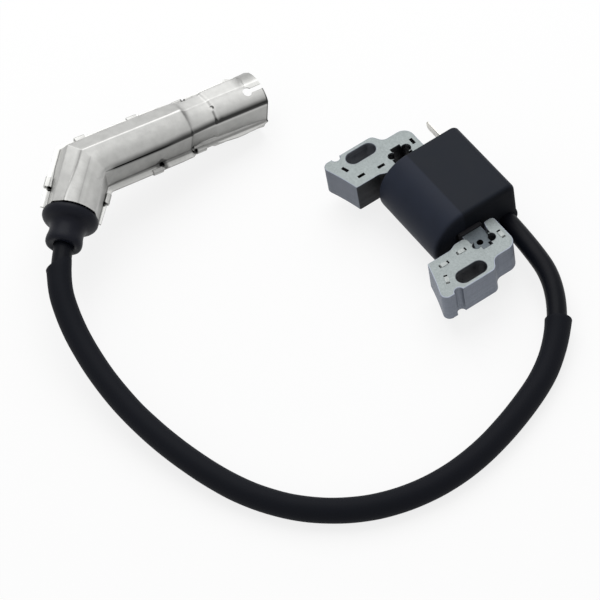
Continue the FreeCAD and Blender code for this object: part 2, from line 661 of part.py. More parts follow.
# ---- high-tension lead ---------------------------------------------------------------------------------------
def route_points():
    """The lead's route from its end in the case to its end in the boot."""
    points = [V(CASE_END - LEAD_IN_CASE, LEAD_Y, LEAD_Z), V(CASE_END + STRAIGHT_OUT, LEAD_Y, LEAD_Z)]
    for x, y, z in ROUTE:
        points.append(V(CASE_END + x, LEAD_Y + y, z))
    return points


def route_edges():
    """Straight runs joined by tangent arcs, each arc as large as its two runs allow."""
    points = route_points()
    edges, start = [], points[0]
    for before, corner, after in zip(points, points[1:], points[2:]):
        back, ahead = before - corner, after - corner
        reach = ARC_SHARE * min(back.Length, ahead.Length)
        back.normalize()
        ahead.normalize()
        half = back.getAngle(ahead) / 2
        radius = reach * math.tan(half)
        middle = corner + (back + ahead).normalize() * (radius / math.sin(half) - radius)
        first, last = corner + back * reach, corner + ahead * reach
        edges += [Part.makeLine(start, first), Part.Arc(first, middle, last).toShape()]
        start = last
        print("lead arc: radius %.1f mm, turn %.1f deg" % (radius, 180 - math.degrees(2 * half)))
    return edges + [Part.makeLine(start, points[-1])]


def route_stretch(edges, start, stop):
    """The part of the route between two distances along it."""
    pieces, travelled = [], 0.0
    for edge in edges:
        low, high = max(start - travelled, 0), min(stop - travelled, edge.Length)
        if high - low > PLAY / 10:
            first, last = edge.getParameterByLength(low), edge.getParameterByLength(high)
            pieces.append(edge.Curve.toShape(first, last))
        travelled += edge.Length
    return Part.Wire(pieces)


def swept(edges, start, stop, outer, inner):
    """Round tube, or a rod if inner is zero, along a stretch of the route."""
    path = route_stretch(edges, start, stop)
    first = path.OrderedEdges[0]
    origin = first.valueAt(first.FirstParameter)
    direction = first.tangentAt(first.FirstParameter)
    solid = Part.Wire(Part.makeCircle(outer, origin, direction)).copy()
    solid = path.makePipeShell([solid], True, False)
    if inner:
        core = path.makePipeShell([Part.Wire(Part.makeCircle(inner, origin, direction))], True, False)
        solid = solid.cut(core)
    area = math.pi * (outer**2 - inner**2)
    print("swept piece: %.1f mm long, volume over section x length %.4f"
          % (path.Length, solid.Volume / (area * path.Length)))
    return solid


# ---- plug boot -------------------------------------------------------------------------------------------------
def boot_placement():
    """Where the boot's own frame lies: origin at the elbow, +X along the lead into the boot."""
    points = route_points()
    into = (points[-1] - points[-2]).normalize()
    elbow = points[-1] + into * (LOWER_TUBE + NECK - LEAD_IN_BOOT)
    up = V(0, 0, 1) - into * into.z
    up.normalize()
    turn = math.radians(BOOT_ROLL)
    crown = up * math.cos(turn) + into.cross(up) * math.sin(turn)
    axes = FreeCAD.Rotation(into, crown.cross(into), crown, "XZY")
    return FreeCAD.Placement(elbow, axes)


def bent(lower, upper):
    """Join a solid along -X and one drawn along +X, which is first turned to the long tube."""
    upper.rotate(V(0, 0, 0), V(0, 0, 1), -BOOT_BEND)
    size = 4 * UPPER_TUBE
    behind = box((size, size, size), (-size, -size / 2, -size / 2))
    ahead = box((size, size, size), (0, -size / 2, -size / 2))
    for half in (behind, ahead):
        half.rotate(V(0, 0, 0), V(0, 0, 1), -BOOT_BEND / 2)
    return fused([lower.common(behind), upper.common(ahead)])


def long_tube(shape):
    """Turn a shape drawn along +X so that it lies along the boot's long tube."""
    shape.rotate(V(0, 0, 0), V(0, 0, 1), -BOOT_BEND)
    return shape


def shield_profile(inset):
    """Radius along the long tube: main part, waist and end section."""
    return [
        (-ELBOW_RADIUS, ELBOW_RADIUS - inset), (0, ELBOW_RADIUS - inset),
        (WAIST_START - STEP_RUN, STEP_RADIUS - inset), (WAIST_START, WAIST_RADIUS - inset),
        (WAIST_END, WAIST_RADIUS - inset), (WAIST_END + STEP_RUN, END_RADIUS - inset),
        (UPPER_TUBE - MOUTH_FLARE_RUN, END_RADIUS - inset),
        (UPPER_TUBE, END_RADIUS + MOUTH_FLARE - inset),
    ]


def shield_solid(inset, beyond):
    """The shield's outer solid, or the space inside it, run out past both ends."""
    lower = turned([(-LOWER_TUBE - beyond, RIM_RADIUS - inset), (-LOWER_TUBE, RIM_RADIUS - inset),
                    (0, ELBOW_RADIUS - inset), (ELBOW_RADIUS, ELBOW_RADIUS - inset)][beyond == 0:])
    profile = shield_profile(inset)
    if beyond:
        profile.append((UPPER_TUBE + beyond, END_RADIUS + MOUTH_FLARE - inset))
    return bent(lower, turned(profile))


def seam_plate(thickness, low):
    """Flat plate in the seam plane, wider than the tubes by the flanges."""
    size = ELBOW_RADIUS + SEAM_WIDTH
    lower = span((-LOWER_TUBE, -size, low), (size, size, low + thickness))
    upper = span((-size, -size, low), (UPPER_TUBE - SEAM_END, size, low + thickness))
    return bent(lower, upper)


def half_shell(side):
    """One stamped half of the shield; side is 1 for the crown half and -1 for the other."""
    size = 2 * UPPER_TUBE
    half_space = box((2 * size, 2 * size, size), (-size, -size, 0 if side > 0 else -size))
    shell = shield_solid(0, 0).common(half_space)
    plate = seam_plate(SHEET, 0 if side > 0 else -SHEET)
    return fused([shell, plate]).cut(shield_solid(SHEET, SHEET))


def shield_top():
    """Crown half of the shield, with the mouth's keyhole and a small hole at the end ring."""
    shell = half_shell(1)
    crown = 2 * ELBOW_RADIUS
    centre = UPPER_TUBE - KEYHOLE_PLACE
    tools = [rod((centre, 0, 0), (centre, 0, crown), KEYHOLE_RADIUS),
             span((centre, -KEYHOLE_SLOT / 2, 0), (UPPER_TUBE + SHEET, KEYHOLE_SLOT / 2, crown)),
             rod((WAIST_END, 0, 0), (WAIST_END, 0, crown), DRAIN_RADIUS)]
    return shell.cut(long_tube(fused(tools)))


def seam_tab(place, side):
    """Tab folded up from the lower shell round the edge of the upper one's flange."""
    edge = ELBOW_RADIUS + SEAM_WIDTH
    low, high = place - TAB_LENGTH / 2, place + TAB_LENGTH / 2
    wall = span((low, edge, -SHEET), (high, edge + SHEET, 2 * SHEET + PLAY))
    fold = span((low, edge - TAB_FOLD, SHEET + PLAY), (high, edge, 2 * SHEET + PLAY))
    tab = fused([wall, fold])
    if side < 0:
        tab.rotate(V(place, 0, 0), V(1, 0, 0), 180)
        tab = tab.mirror(V(0, 0, 0), V(0, 0, 1))
    return tab


def shield_bottom():
    """Lower half of the shield, with the tabs that hold the two halves together."""
    pieces = [half_shell(-1)]
    pieces += [long_tube(seam_tab(place, 1)) for place in OUTER_TABS]
    pieces += [long_tube(seam_tab(place, -1)) for place in INNER_TABS]
    pieces += [seam_tab(-LOWER_TAB, side) for side in (1, -1)]
    return fused(pieces)


def plug_terminal():
    """Spike in the lead's core, a strip round the elbow, and a split socket for the plug's nut."""
    face = -LOWER_TUBE - NECK + LEAD_IN_BOOT + PLAY
    disc = rod((face, 0, 0), (face + TERMINAL_DISC, 0, 0), LEAD_RADIUS)
    spike = rod((face - TERMINAL_SPIKE, 0, 0), (face, 0, 0), CONDUCTOR_RADIUS)
    half, flat = STRIP_WIDTH / 2, STRIP_THICK / 2
    lower = span((face, -flat, -half), (half, flat, half))
    upper = span((-half, -flat, -half), (SOCKET_START, flat, half))
    strip = bent(lower, upper)
    radius = PLUG_NUT_RADIUS + SOCKET_WALL
    mouth = SOCKET_START + SOCKET_SPAN
    lip = mouth - SOCKET_LIP_RUN
    socket = turned([(SOCKET_START, radius), (lip, radius), (mouth, radius + SOCKET_LIP)])
    floor = SOCKET_START + TERMINAL_DISC
    socket = socket.cut(turned([(floor, PLUG_NUT_RADIUS), (lip, PLUG_NUT_RADIUS),
                                (mouth, PLUG_NUT_RADIUS + SOCKET_LIP),
                                (mouth + SOCKET_LIP_RUN, PLUG_NUT_RADIUS + SOCKET_LIP)]))
    socket = socket.cut(span((floor + TERMINAL_DISC, -SOCKET_SPLIT / 2, 0),
                             (floor + SOCKET_SPAN, SOCKET_SPLIT / 2, 2 * radius)))
    return fused([disc, spike, strip, long_tube(socket)])


def clip_radius():
    """Middle of the clip's wire, round the socket."""
    return PLUG_NUT_RADIUS + SOCKET_WALL + CLIP_WIRE + PLAY / 5


def terminal_clip():
    """Open wire ring that closes the split socket on the plug's nut."""
    place = SOCKET_START + SOCKET_SPAN / 2
    ring = Part.makeTorus(clip_radius(), CLIP_WIRE, V(place, 0, 0), V(1, 0, 0), 0, 360,
                          360 - CLIP_OPENING)
    ring.rotate(V(place, 0, 0), V(1, 0, 0), CLIP_OPENING)
    return long_tube(ring)


def rubber_boot():
    """Rubber inside the shield, from the neck round the lead to the plug's insulator."""
    rim, neck = -LOWER_TUBE - PLAY, -LOWER_TUBE - NECK
    inside = RIM_RADIUS - SHEET - RUBBER_GAP
    waist = WAIST_RADIUS - SHEET - RUBBER_GAP
    lower = turned([
        (neck, NECK_RADIUS - 1.2), (neck + 0.4, NECK_RADIUS - 0.2), (neck + 1.4, NECK_RADIUS),
        (rim - RUBBER_FLANGE - 2.6, NECK_WAIST), (rim - RUBBER_FLANGE - 1.0, NECK_WAIST + 0.5),
        (rim - RUBBER_FLANGE, RUBBER_FLANGE_RADIUS - 1.2), (rim - RUBBER_FLANGE + 1.2,
        RUBBER_FLANGE_RADIUS), (rim, RUBBER_FLANGE_RADIUS), (rim, inside), (ELBOW_RADIUS, inside),
    ])
    upper = turned([(-ELBOW_RADIUS, inside), (WAIST_START - 2 * STEP_RUN, inside),
                    (WAIST_START - 2 * STEP_RUN, waist), (WAIST_END - STEP_RUN, waist)])
    lead_end = neck + LEAD_IN_BOOT + PLAY
    seat = SOCKET_START - PLAY
    room = clip_radius() + CLIP_WIRE + PLAY
    hollow = bent(rod((lead_end, 0, 0), (ELBOW_RADIUS, 0, 0), PASSAGE_RADIUS),
                  rod((-ELBOW_RADIUS, 0, 0), (seat, 0, 0), PASSAGE_RADIUS))
    lead_bore = rod((neck, 0, 0), (lead_end + TERMINAL_DISC + PLAY, 0, 0), BORE)
    socket_bore = rod((seat, 0, 0), (SOCKET_START + SOCKET_SPAN, 0, 0), room)
    mouth = WAIST_END - STEP_RUN
    plug_bore = turned([(SOCKET_START + SOCKET_SPAN, INSULATOR_RADIUS),
                        (mouth - ENTRY_FLARE, INSULATOR_RADIUS),
                        (mouth, INSULATOR_RADIUS + ENTRY_FLARE),
                        (WAIST_END, INSULATOR_RADIUS + ENTRY_FLARE)])
    return bent(lower, upper).cut(fused([hollow, lead_bore, long_tube(fused([socket_bore, plug_bore]))]))


# ---- the whole coil ----------------------------------------------------------------------------------------------
def lead_pieces():
    """The lead's insulation and conductor, and the loose sleeve on it."""
    edges = route_edges()
    total = sum(edge.Length for edge in edges)
    print("lead: %.1f mm in all, %.1f mm between case and boot"
          % (total, total - LEAD_IN_CASE - LEAD_IN_BOOT))
    sleeve_end = total - LEAD_IN_BOOT - SLEEVE_FROM_BOOT
    sleeve = SLEEVE_DIAMETER / 2
    return {
        "lead_insulation": swept(edges, 0, total, LEAD_RADIUS, CONDUCTOR_BORE),
        "lead_conductor": swept(edges, SPIKE_LENGTH + PLAY, total - TERMINAL_SPIKE - PLAY,
                                CONDUCTOR_RADIUS, 0),
        "lead_sleeve": swept(edges, LEAD_IN_CASE + SLEEVE_FROM_CASE, sleeve_end, sleeve,
                             sleeve - SLEEVE_WALL),
    }


def coil_pieces():
    """Legs, bar, case, windings and module."""
    sealed = {
        "circuit_board": circuit_board(), "switching_transistor": switching_transistor(),
        "control_chip": control_chip(), "resistors": resistors(),
        "timing_capacitor": timing_capacitor(), "suppression_diode": suppression_diode(),
        "stop_terminal": stop_terminal(), "ground_strap": ground_strap(),
        "output_spike": output_spike(),
    }
    end_in_case = rod((CASE_END - LEAD_IN_CASE, LEAD_Y, LEAD_Z), (CASE_END, LEAD_Y, LEAD_Z),
                      LEAD_RADIUS)
    pieces = {
        "near_leg": near_leg(), "far_leg": far_leg(), "centre_bar": centre_bar(),
        "coil_housing": coil_housing(),
        "potting_resin": potting_resin(list(sealed.values()) + [end_in_case]),
        "primary_bobbin": primary_bobbin(), "primary_winding": primary_winding(),
        "secondary_bobbin": secondary_bobbin(), "secondary_winding": secondary_winding(),
    }
    return {**pieces, **sealed}


def boot_pieces():
    """Rubber, shield and terminal of the boot, moved to where the lead holds them."""
    pieces = {"rubber_boot": rubber_boot(), "shield_top": shield_top(),
              "shield_bottom": shield_bottom(), "plug_terminal": plug_terminal(),
              "terminal_clip": terminal_clip()}
    place = boot_placement()
    for shape in pieces.values():
        shape.Placement = place.multiply(shape.Placement)
    return pieces


def main():
    """Write one STEP file for each piece."""
    os.makedirs("parts", exist_ok=True)
    for name, shape in {**coil_pieces(), **lead_pieces(), **boot_pieces()}.items():
        shape.exportStep("parts/%s.step" % name)
        bounds = shape.optimalBoundingBox()
        print("%-22s solids %d valid %s volume %.1f box (%.2f %.2f %.2f) (%.2f %.2f %.2f)" % (
            name, len(shape.Solids), shape.isValid(), shape.Volume, bounds.XMin, bounds.YMin,
            bounds.ZMin, bounds.XMax, bounds.YMax, bounds.ZMax))


main()
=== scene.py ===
"""Ignition coil of a small engine: finishes, detailed pieces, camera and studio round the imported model.

Outlines, mesh points and finishes are worked out in millimetres, and mesh_from turns points into metres.
Everything else is in metres.
"""

import functools
import json
import math
import random
from collections import namedtuple
from types import SimpleNamespace

import bmesh
import bpy
from bpy.props import FloatProperty, FloatVectorProperty, IntProperty, PointerProperty
from mathutils import Matrix, Vector, noise
from mathutils.geometry import tessellate_polygon

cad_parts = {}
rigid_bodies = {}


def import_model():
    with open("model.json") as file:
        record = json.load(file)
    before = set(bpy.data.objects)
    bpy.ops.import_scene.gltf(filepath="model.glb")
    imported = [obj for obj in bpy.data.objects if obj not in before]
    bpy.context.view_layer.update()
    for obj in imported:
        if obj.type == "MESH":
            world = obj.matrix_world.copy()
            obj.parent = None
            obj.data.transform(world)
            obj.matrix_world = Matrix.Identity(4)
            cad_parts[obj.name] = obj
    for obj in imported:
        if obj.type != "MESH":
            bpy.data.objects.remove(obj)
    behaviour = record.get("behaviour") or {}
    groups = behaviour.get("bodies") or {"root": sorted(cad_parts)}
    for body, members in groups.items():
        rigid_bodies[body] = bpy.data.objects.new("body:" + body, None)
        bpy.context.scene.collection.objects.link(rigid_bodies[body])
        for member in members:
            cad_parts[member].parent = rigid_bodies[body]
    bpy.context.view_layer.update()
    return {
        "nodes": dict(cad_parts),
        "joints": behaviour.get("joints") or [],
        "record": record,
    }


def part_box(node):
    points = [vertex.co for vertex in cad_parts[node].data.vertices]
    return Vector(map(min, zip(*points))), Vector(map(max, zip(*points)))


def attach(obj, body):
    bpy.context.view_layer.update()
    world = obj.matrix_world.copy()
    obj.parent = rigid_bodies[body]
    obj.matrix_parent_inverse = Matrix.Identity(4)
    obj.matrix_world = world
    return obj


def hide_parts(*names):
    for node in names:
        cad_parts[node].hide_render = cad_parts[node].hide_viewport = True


bl_info = {
    "name": "Ignition Coil",
    "version": (1, 0, 0),
    "blender": (4, 5, 0),
    "location": "View3D > Sidebar > Ignition Coil",
    "description": "Ignition coil with its laminated legs, high-tension lead and shielded plug boot",
    "category": "Add Mesh",
}

MM = 0.001
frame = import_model()
MOUNTS = {mount["name"]: mount for mount in frame["record"]["mounts"]}
SWIVEL = frame["joints"][0]

# The lead's route from its contact in the case to the plug's contact, as in the part's source.
ROUTE = [
    (0.0091, 0.017578, 0.0101), (0.028, 0.017578, 0.0101), (0.0505, 0.015078, 0.0085),
    (0.0725, -0.002422, 0.0044), (0.085, -0.029922, 0.0044), (0.0905, -0.056422, 0.0044),
    (0.0865, -0.080922, 0.0044), (0.0735, -0.101422, 0.0044), (0.0545, -0.115422, 0.0044),
    (0.0325, -0.123922, 0.006), (0.008, -0.129422, 0.008), (-0.014, -0.130922, 0.0105),
    (-0.037, -0.129122, 0.0145), (-0.0562, -0.123022, 0.0205), (-0.0701, -0.108822, 0.0229),
]
LEAD_EXIT = (0.0171, 0.017578, 0.0101)

# Lamination dimples: X and Y in millimetres from the slot's centre, and the long side's angle.
DIMPLES = [(-8.5, -5.5, 90), (-2.6, -8.5, -18), (-9.4, 2.4, 90), (-7.0, 17.5, 0)]

# Sections of the dimples as (along the dimple, height): the far leg's pits, and the near leg's pockets
# with the pads that stand in them.
PIT = [(-1.45, 0.3), (1.45, 0.3), (1.4, -0.3), (0.9, -1.3), (-0.9, -1.3), (-1.4, -0.3)]
POCKET = [(-1.95, 0.3), (1.95, 0.3), (1.9, -1.1), (-1.9, -1.1)]
PAD = [(-1.9, -1.2), (1.9, -1.2), (1.7, -0.75), (1.38, -0.15), (1.2, 0.12), (0.9, 0.2),
       (-0.9, 0.2), (-1.2, 0.12), (-1.38, -0.15), (-1.7, -0.75)]

# Middles of a leg's recess for the bar and of its slot, as (distance from the coil's middle, Y), and
# half the slot's straight run.
RECESS = (25.35, 1.23)
SLOT = [value / MM for value in MOUNTS["near_slot"]["pos_m"][:2]]
SLOT_RUN = MOUNTS["near_slot"]["dims"]["slot_length_mm"] / 2 - MOUNTS["near_slot"]["dims"]["hole_r_mm"]

# Places of a leg's materials in its mesh: level faces, cut edges, pressed shadows and raised pads.
FACE, EDGE, DARK, RAISED = range(4)
BAR_SHEETS = 16
BLADE_THICK = 0.6

# The boot's own frame: origin at the elbow, X along the lead into the boot, Z out of its crown. Its tubes'
# lengths, and the upper one's waist and step, are counted in millimetres from the elbow.
INTO = -Vector(SWIVEL["axis"]).normalized()
LONG = Vector(MOUNTS["shield_mouth"]["axis"]).normalized()
CROWN = LONG.cross(INTO).normalized()
BEND = INTO.angle(LONG)
NECK_TO_ELBOW = 32.4
LOWER_TUBE = 19.6
UPPER_TUBE = 72.5
WAIST = 40.0
STEP = 51.0
SHEET = 0.45
ELBOW = Vector(SWIVEL["pos_m"]) + INTO * NECK_TO_ELBOW * MM
BOOT_FRAME = Matrix.Translation(ELBOW) @ Matrix((INTO, CROWN.cross(INTO), CROWN)).transposed().to_4x4()


def box_mm(node):
    """Lowest and highest corners of a CAD node at rest, in millimetres."""
    return [[value / MM for value in corner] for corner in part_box(node)]


def linear(red, green, blue):
    """Shader colour from screen values out of 255."""
    values = [v / 255 for v in (red, green, blue)]
    return tuple(v / 12.92 if v <= 0.04045 else ((v + 0.055) / 1.055) ** 2.4 for v in values) + (1,)


# ---- settings ------------------------------------------------------------------------------------
def colour(name, description, *screen):
    """Colour setting with its default written as screen values."""
    return FloatVectorProperty(name=name, description=description, subtype="COLOR", size=4,
                               min=0, max=1, default=linear(*screen))


def distance(name, description, millimetres):
    """Length setting with its default in millimetres."""
    return FloatProperty(name=name, description=description, subtype="DISTANCE", unit="LENGTH",
                         min=0, precision=5, default=millimetres * MM)


def angle(name, description, degrees):
    """Angle setting with its default in degrees."""
    return FloatProperty(name=name, description=description, subtype="ANGLE", unit="ROTATION",
                         default=math.radians(degrees))


class LeadSettings(bpy.types.PropertyGroup):
    """Lead and sleeve."""

    diameter: distance("Lead diameter", "Outside of the insulation", 7.0)
    sleeve_diameter: distance("Sleeve diameter", "Outside of the loose sleeve", 8.7)
    sleeve_wall: distance("Sleeve wall", "Thickness of the sleeve", 0.65)
    sleeve_start: distance("Sleeve start", "Lead left bare beside the case", 46.0)
    sleeve_stop: distance("Sleeve stop", "Lead left bare beside the boot", 7.0)
    rubber: colour("Lead", "Insulation", 12, 14, 20)
    sleeve: colour("Sleeve", "Loose sleeve", 17, 19, 25)


class CoreSettings(bpy.types.PropertyGroup):
    """Laminated legs and bar."""

    laminations: IntProperty(name="Laminations", description="Sheets in a leg", default=24, min=2)
    rim: distance("Rim", "Rounding of the stack's level edges", 0.25)
    groove: distance("Groove", "Depth of the gap between two sheets", 0.05)
    face: colour("Face", "Level faces of the legs", 143, 150, 150)
    edge: colour("Edge", "Cut edges of the legs", 130, 136, 147)
    bar: colour("Bar", "Level faces of the bar", 97, 105, 110)


class CaseSettings(bpy.types.PropertyGroup):
    """Case, potting and module."""

    # The two case colours are one nylon with painted shade: darker on the flat top, lighter and bluer on the
    # half-round front.
    nylon: colour("Case", "Moulded nylon", 19, 24, 33)
    front: colour("Case front", "Moulded nylon of the half-round front", 34, 39, 51)
    resin: colour("Resin", "Cast resin", 22, 22, 24)
    copper: colour("Wire", "Enamelled wire", 176, 96, 52)
    tin: colour("Tinned strip", "Stop blade", 214, 212, 206)


class BootSettings(bpy.types.PropertyGroup):
    """Shield and rubber."""

    plate: colour("Shield", "Tinned plate", 176, 176, 174)
    rubber: colour("Rubber", "Boot rubber", 17, 19, 28)
    brass: colour("Contact", "Brass of the plug's contact", 206, 176, 112)


class StageSettings(bpy.types.PropertyGroup):
    """Camera and lamps."""

    azimuth: angle("Azimuth", "Camera's turn from the front towards +X", 66.24)
    elevation: angle("Elevation", "Camera's height", 52.21)
    roll: angle("Roll", "Camera's tilt", -12.06)
    range: distance("Distance", "Camera to its aim", 1040.1)
    lens: FloatProperty(name="Lens", description="Focal length in mm", unit="CAMERA",
                        default=180.0, min=1)
    lamp: FloatProperty(name="Lamp", description="Power of the main softbox", unit="POWER",
                        default=6.6, min=0)
    ambient: FloatProperty(name="Ambient", description="Strength of the white room", default=0.5,
                           min=0)


class CoilSettings(bpy.types.PropertyGroup):
    """All of the coil's settings."""

    lead: PointerProperty(type=LeadSettings)
    core: PointerProperty(type=CoreSettings)
    case: PointerProperty(type=CaseSettings)
    boot: PointerProperty(type=BootSettings)
    stage: PointerProperty(type=StageSettings)


# ---- shader expressions --------------------------------------------------------------------------
class Flow:
    """A socket that Python arithmetic turns into Math nodes."""

    def __init__(self, finish, socket):
        self.finish = finish
        self.socket = socket

    def __add__(self, other):
        return self.finish.math("ADD", self, other)

    def __radd__(self, other):
        return self.finish.math("ADD", other, self)

    def __sub__(self, other):
        return self.finish.math("SUBTRACT", self, other)

    def __rsub__(self, other):
        return self.finish.math("SUBTRACT", other, self)

    def __mul__(self, other):
        return self.finish.math("MULTIPLY", self, other)

    def __rmul__(self, other):
        return self.finish.math("MULTIPLY", other, self)

    def __truediv__(self, other):
        return self.finish.math("DIVIDE", self, other)

    def __rtruediv__(self, other):
        return self.finish.math("DIVIDE", other, self)

    def square(self):
        """Multiplied by itself."""
        return self * self

    def absolute(self):
        """Distance from zero."""
        return self.finish.math("ABSOLUTE", self)

    def smooth(self, low, high):
        """0 below low, 1 above high, smooth between; low may lie above high."""
        settings = {"interpolation_type": "SMOOTHSTEP"}
        sockets = {"Value": self, "From Min": low, "From Max": high}
        return self.finish.node("ShaderNodeMapRange", settings, sockets)

    def band(self, start, full, fade, stop):
        """0 outside start and stop, 1 from full to fade, smooth between."""
        return self.smooth(start, full) * self.smooth(stop, fade)

    def bell(self, middle, width):
        """1 at the middle, falling smoothly to 0 at a width to each side."""
        return (self - middle).absolute().smooth(width, 0.0)


class Finish:
    """Node tree of one material or of the world."""

    def __init__(self, tree, output):
        tree.nodes.clear()
        self.tree = tree
        self.output = tree.nodes.new(output)

    def node(self, kind, settings=None, sockets=None, output=0):
        """Add a node, its settings first and then its sockets, and return one of its outputs."""
        node = self.tree.nodes.new(kind)
        for key, value in (settings or {}).items():
            setattr(node, key, value)
        for key, value in (sockets or {}).items():
            if isinstance(value, Flow):
                self.tree.links.new(value.socket, node.inputs[key])
            else:
                node.inputs[key].default_value = value
        return Flow(self, node.outputs[output])

    def math(self, operation, *values):
        """Math node on values."""
        return self.node("ShaderNodeMath", {"operation": operation}, dict(enumerate(values)))

    def mix(self, factor, first, second):
        """Colour between two colours."""
        return self.node("ShaderNodeMix", {"data_type": "RGBA"}, {0: factor, 6: first, 7: second}, 2)

    def tinted(self, shade, amount):
        """Colour multiplied by a grey amount."""
        grey = self.node("ShaderNodeCombineColor", None, {0: amount, 1: amount, 2: amount})
        settings = {"data_type": "RGBA", "blend_type": "MULTIPLY"}
        return self.node("ShaderNodeMix", settings, {0: 1.0, 6: shade, 7: grey}, 2)

    def place(self, stretch=(1, 1, 1)):
        """Position in the piece's own frame, in millimetres, stretched by axis."""
        spot = self.node("ShaderNodeTexCoord", None, None, "Object")
        scale = tuple(value / MM for value in stretch)
        return self.node("ShaderNodeVectorMath", {"operation": "MULTIPLY"}, {0: spot, 1: scale})

    def along(self, spot, direction):
        """How far a position lies along a direction."""
        return self.node("ShaderNodeVectorMath", {"operation": "DOT_PRODUCT"},
                         {0: spot, 1: tuple(direction)}, "Value")

    def axes(self, spot):
        """A position's X, Y and Z."""
        return [self.along(spot, axis) for axis in ((1, 0, 0), (0, 1, 0), (0, 0, 1))]

    def facing(self, direction):
        """How far the surface faces along a direction, from -1 to 1."""
        return self.along(self.node("ShaderNodeNewGeometry", None, None, "Normal"), direction)

    def seen(self):
        """1 to the camera, in reflections and through glass, and 0 to other light."""
        rays = [self.node("ShaderNodeLightPath", None, None, "Is %s Ray" % kind)
                for kind in ("Camera", "Glossy", "Transmission")]
        return self.math("MINIMUM", rays[0] + rays[1] + rays[2], 1.0)

    def grain(self, size, detail=2.0, stretch=(1, 1, 1), roughness=0.5):
        """Noise from 0 to 1 whose lumps have a size in millimetres."""
        spot = self.place(stretch)
        sockets = {"Vector": spot, "Scale": 1 / size, "Detail": detail, "Roughness": roughness}
        return self.node("ShaderNodeTexNoise", None, sockets)

    def bump(self, height, depth, under=None):
        """Normal from a height, its full depth in millimetres."""
        sockets = {"Height": height, "Strength": 1.0, "Distance": depth * MM}
        if under:
            sockets["Normal"] = under
        return self.node("ShaderNodeBump", None, sockets)

    def surface(self, **sockets):
        """Principled surface; an underscore in a name stands for a space."""
        named = {key.replace("_", " "): value for key, value in sockets.items()}
        shader = self.node("ShaderNodeBsdfPrincipled", None, named)
        self.tree.links.new(shader.socket, self.output.inputs["Surface"])


def new_finish(name):
    """Empty material and its finish."""
    material = bpy.data.materials.new(name)
    material.use_nodes = True
    return material, Finish(material.node_tree, "ShaderNodeOutputMaterial")


# ---- finishes ------------------------------------------------------------------------------------
def lamination_face(name, shade):
    """Tumbled electrical steel: fine matt grain with faint clouds."""
    material, finish = new_finish(name)
    fine = finish.grain(0.7, 4.0, roughness=0.85)
    clouds = finish.grain(5.0, 3.0)
    tone = 0.40 + 0.94 * fine + 0.22 * clouds
    finish.surface(Base_Color=finish.tinted(shade, tone), Metallic=0.55,
                   Roughness=0.50 + 0.14 * clouds, Normal=finish.bump(fine, 0.035))
    return material


def lamination_edge(name, shade, pitch, lowest, sheets):
    """Sheared edges of a stack: upright shear marks and uneven sheets, a painted highlight along the top rim,
    and painted shade in the recesses, the slot, on flanks facing the case and over the far leg.
    """
    material, finish = new_finish(name)
    x, y, height = finish.axes(finish.place())
    across, near = x.absolute(), x.smooth(-1.0, 1.0)
    sheet = finish.math("FLOOR", (height - lowest) / pitch)
    tone_of_sheet = finish.node("ShaderNodeTexWhiteNoise", {"noise_dimensions": "1D"}, {"W": sheet})
    shear = finish.grain(0.35, 2.0, (1, 1, 0.08))
    broad = finish.grain(2.6, 2.0, (1, 1, 0.15))
    top = lowest + pitch * sheets
    # worn: a painted highlight just under the stack's top rim.
    worn = height.smooth(top - 0.45, top - 0.15)
    inwards = finish.facing((1, 0, 0)) * finish.math("SIGN", x)
    shadowed = inwards.smooth(-0.25, -0.8) * across.smooth(24.0, 22.0)
    # Painted shade in the recess that holds the bar's head.
    from_recess = (across - RECESS[0]).square() + (y - RECESS[1]).square()
    painted_recess_shade = from_recess.smooth(44.0, 34.0)
    # Painted shade in the slot, deeper on the near leg.
    past_run = finish.math("MAXIMUM", (y - SLOT[1]).absolute() - SLOT_RUN, 0.0)
    from_slot = (across - SLOT[0]).square() + past_run.square()
    slot = from_slot.smooth(10.5, 8.4) * (0.45 + 0.4 * near)
    tone = 0.60 + 0.30 * shear + 0.26 * broad + 0.10 * tone_of_sheet + 0.8 * worn
    # Painted shade: darker on the flanks facing the case, in the recess and the slot, and over all of the far
    # leg's edges.
    tone = tone * (1 - 0.9 * shadowed) * (1 - 0.9 * painted_recess_shade) * (1 - slot) * (0.78 + 0.22 * near)
    finish.surface(Base_Color=finish.tinted(shade, tone), Metallic=0.6,
                   Roughness=0.42 + 0.16 * shear, Normal=finish.bump(shear, 0.04))
    return material


def moulded(name, shade, roughness, grain_size=0.18, depth=0.012):
    """Moulded plastic with a fine eroded texture."""
    material, finish = new_finish(name)
    fine = finish.grain(grain_size, 2.0)
    clouds = finish.grain(7.0, 2.0)
    finish.surface(Base_Color=finish.tinted(shade, 0.88 + 0.24 * clouds),
                   Roughness=roughness - 0.05 + 0.12 * clouds, Normal=finish.bump(fine, depth),
                   Specular_IOR_Level=0.22)
    return material


def case_nylon(name, shade, front):
    """Moulded case: painted shade makes its flat top darker and less blue than its half-round front and
    darkens its ends, which are also rougher.
    """
    material, finish = new_finish(name)
    fine = finish.grain(0.3, 3.0)
    clouds = finish.grain(6.0, 3.0)
    # Painted shade on the case's ends, which are also rougher.
    end = finish.facing((1, 0, 0)).absolute().smooth(0.35, 0.9)
    # Painted shade: the flat top takes the darker case colour, the half-round front the lighter, bluer one.
    top = finish.along(finish.place(), (0, 1, 0)).smooth(0.3, 1.2)
    nylon_with_painted_shade = finish.mix(top, front, shade)
    tone = (0.80 + 0.30 * clouds + 0.10 * fine) * (1 - 0.62 * end)
    finish.surface(Base_Color=finish.tinted(nylon_with_painted_shade, tone), Roughness=0.44 + 0.12 * clouds + 0.2 * end,
                   Normal=finish.bump(fine, 0.02), Specular_IOR_Level=0.11)
    return material


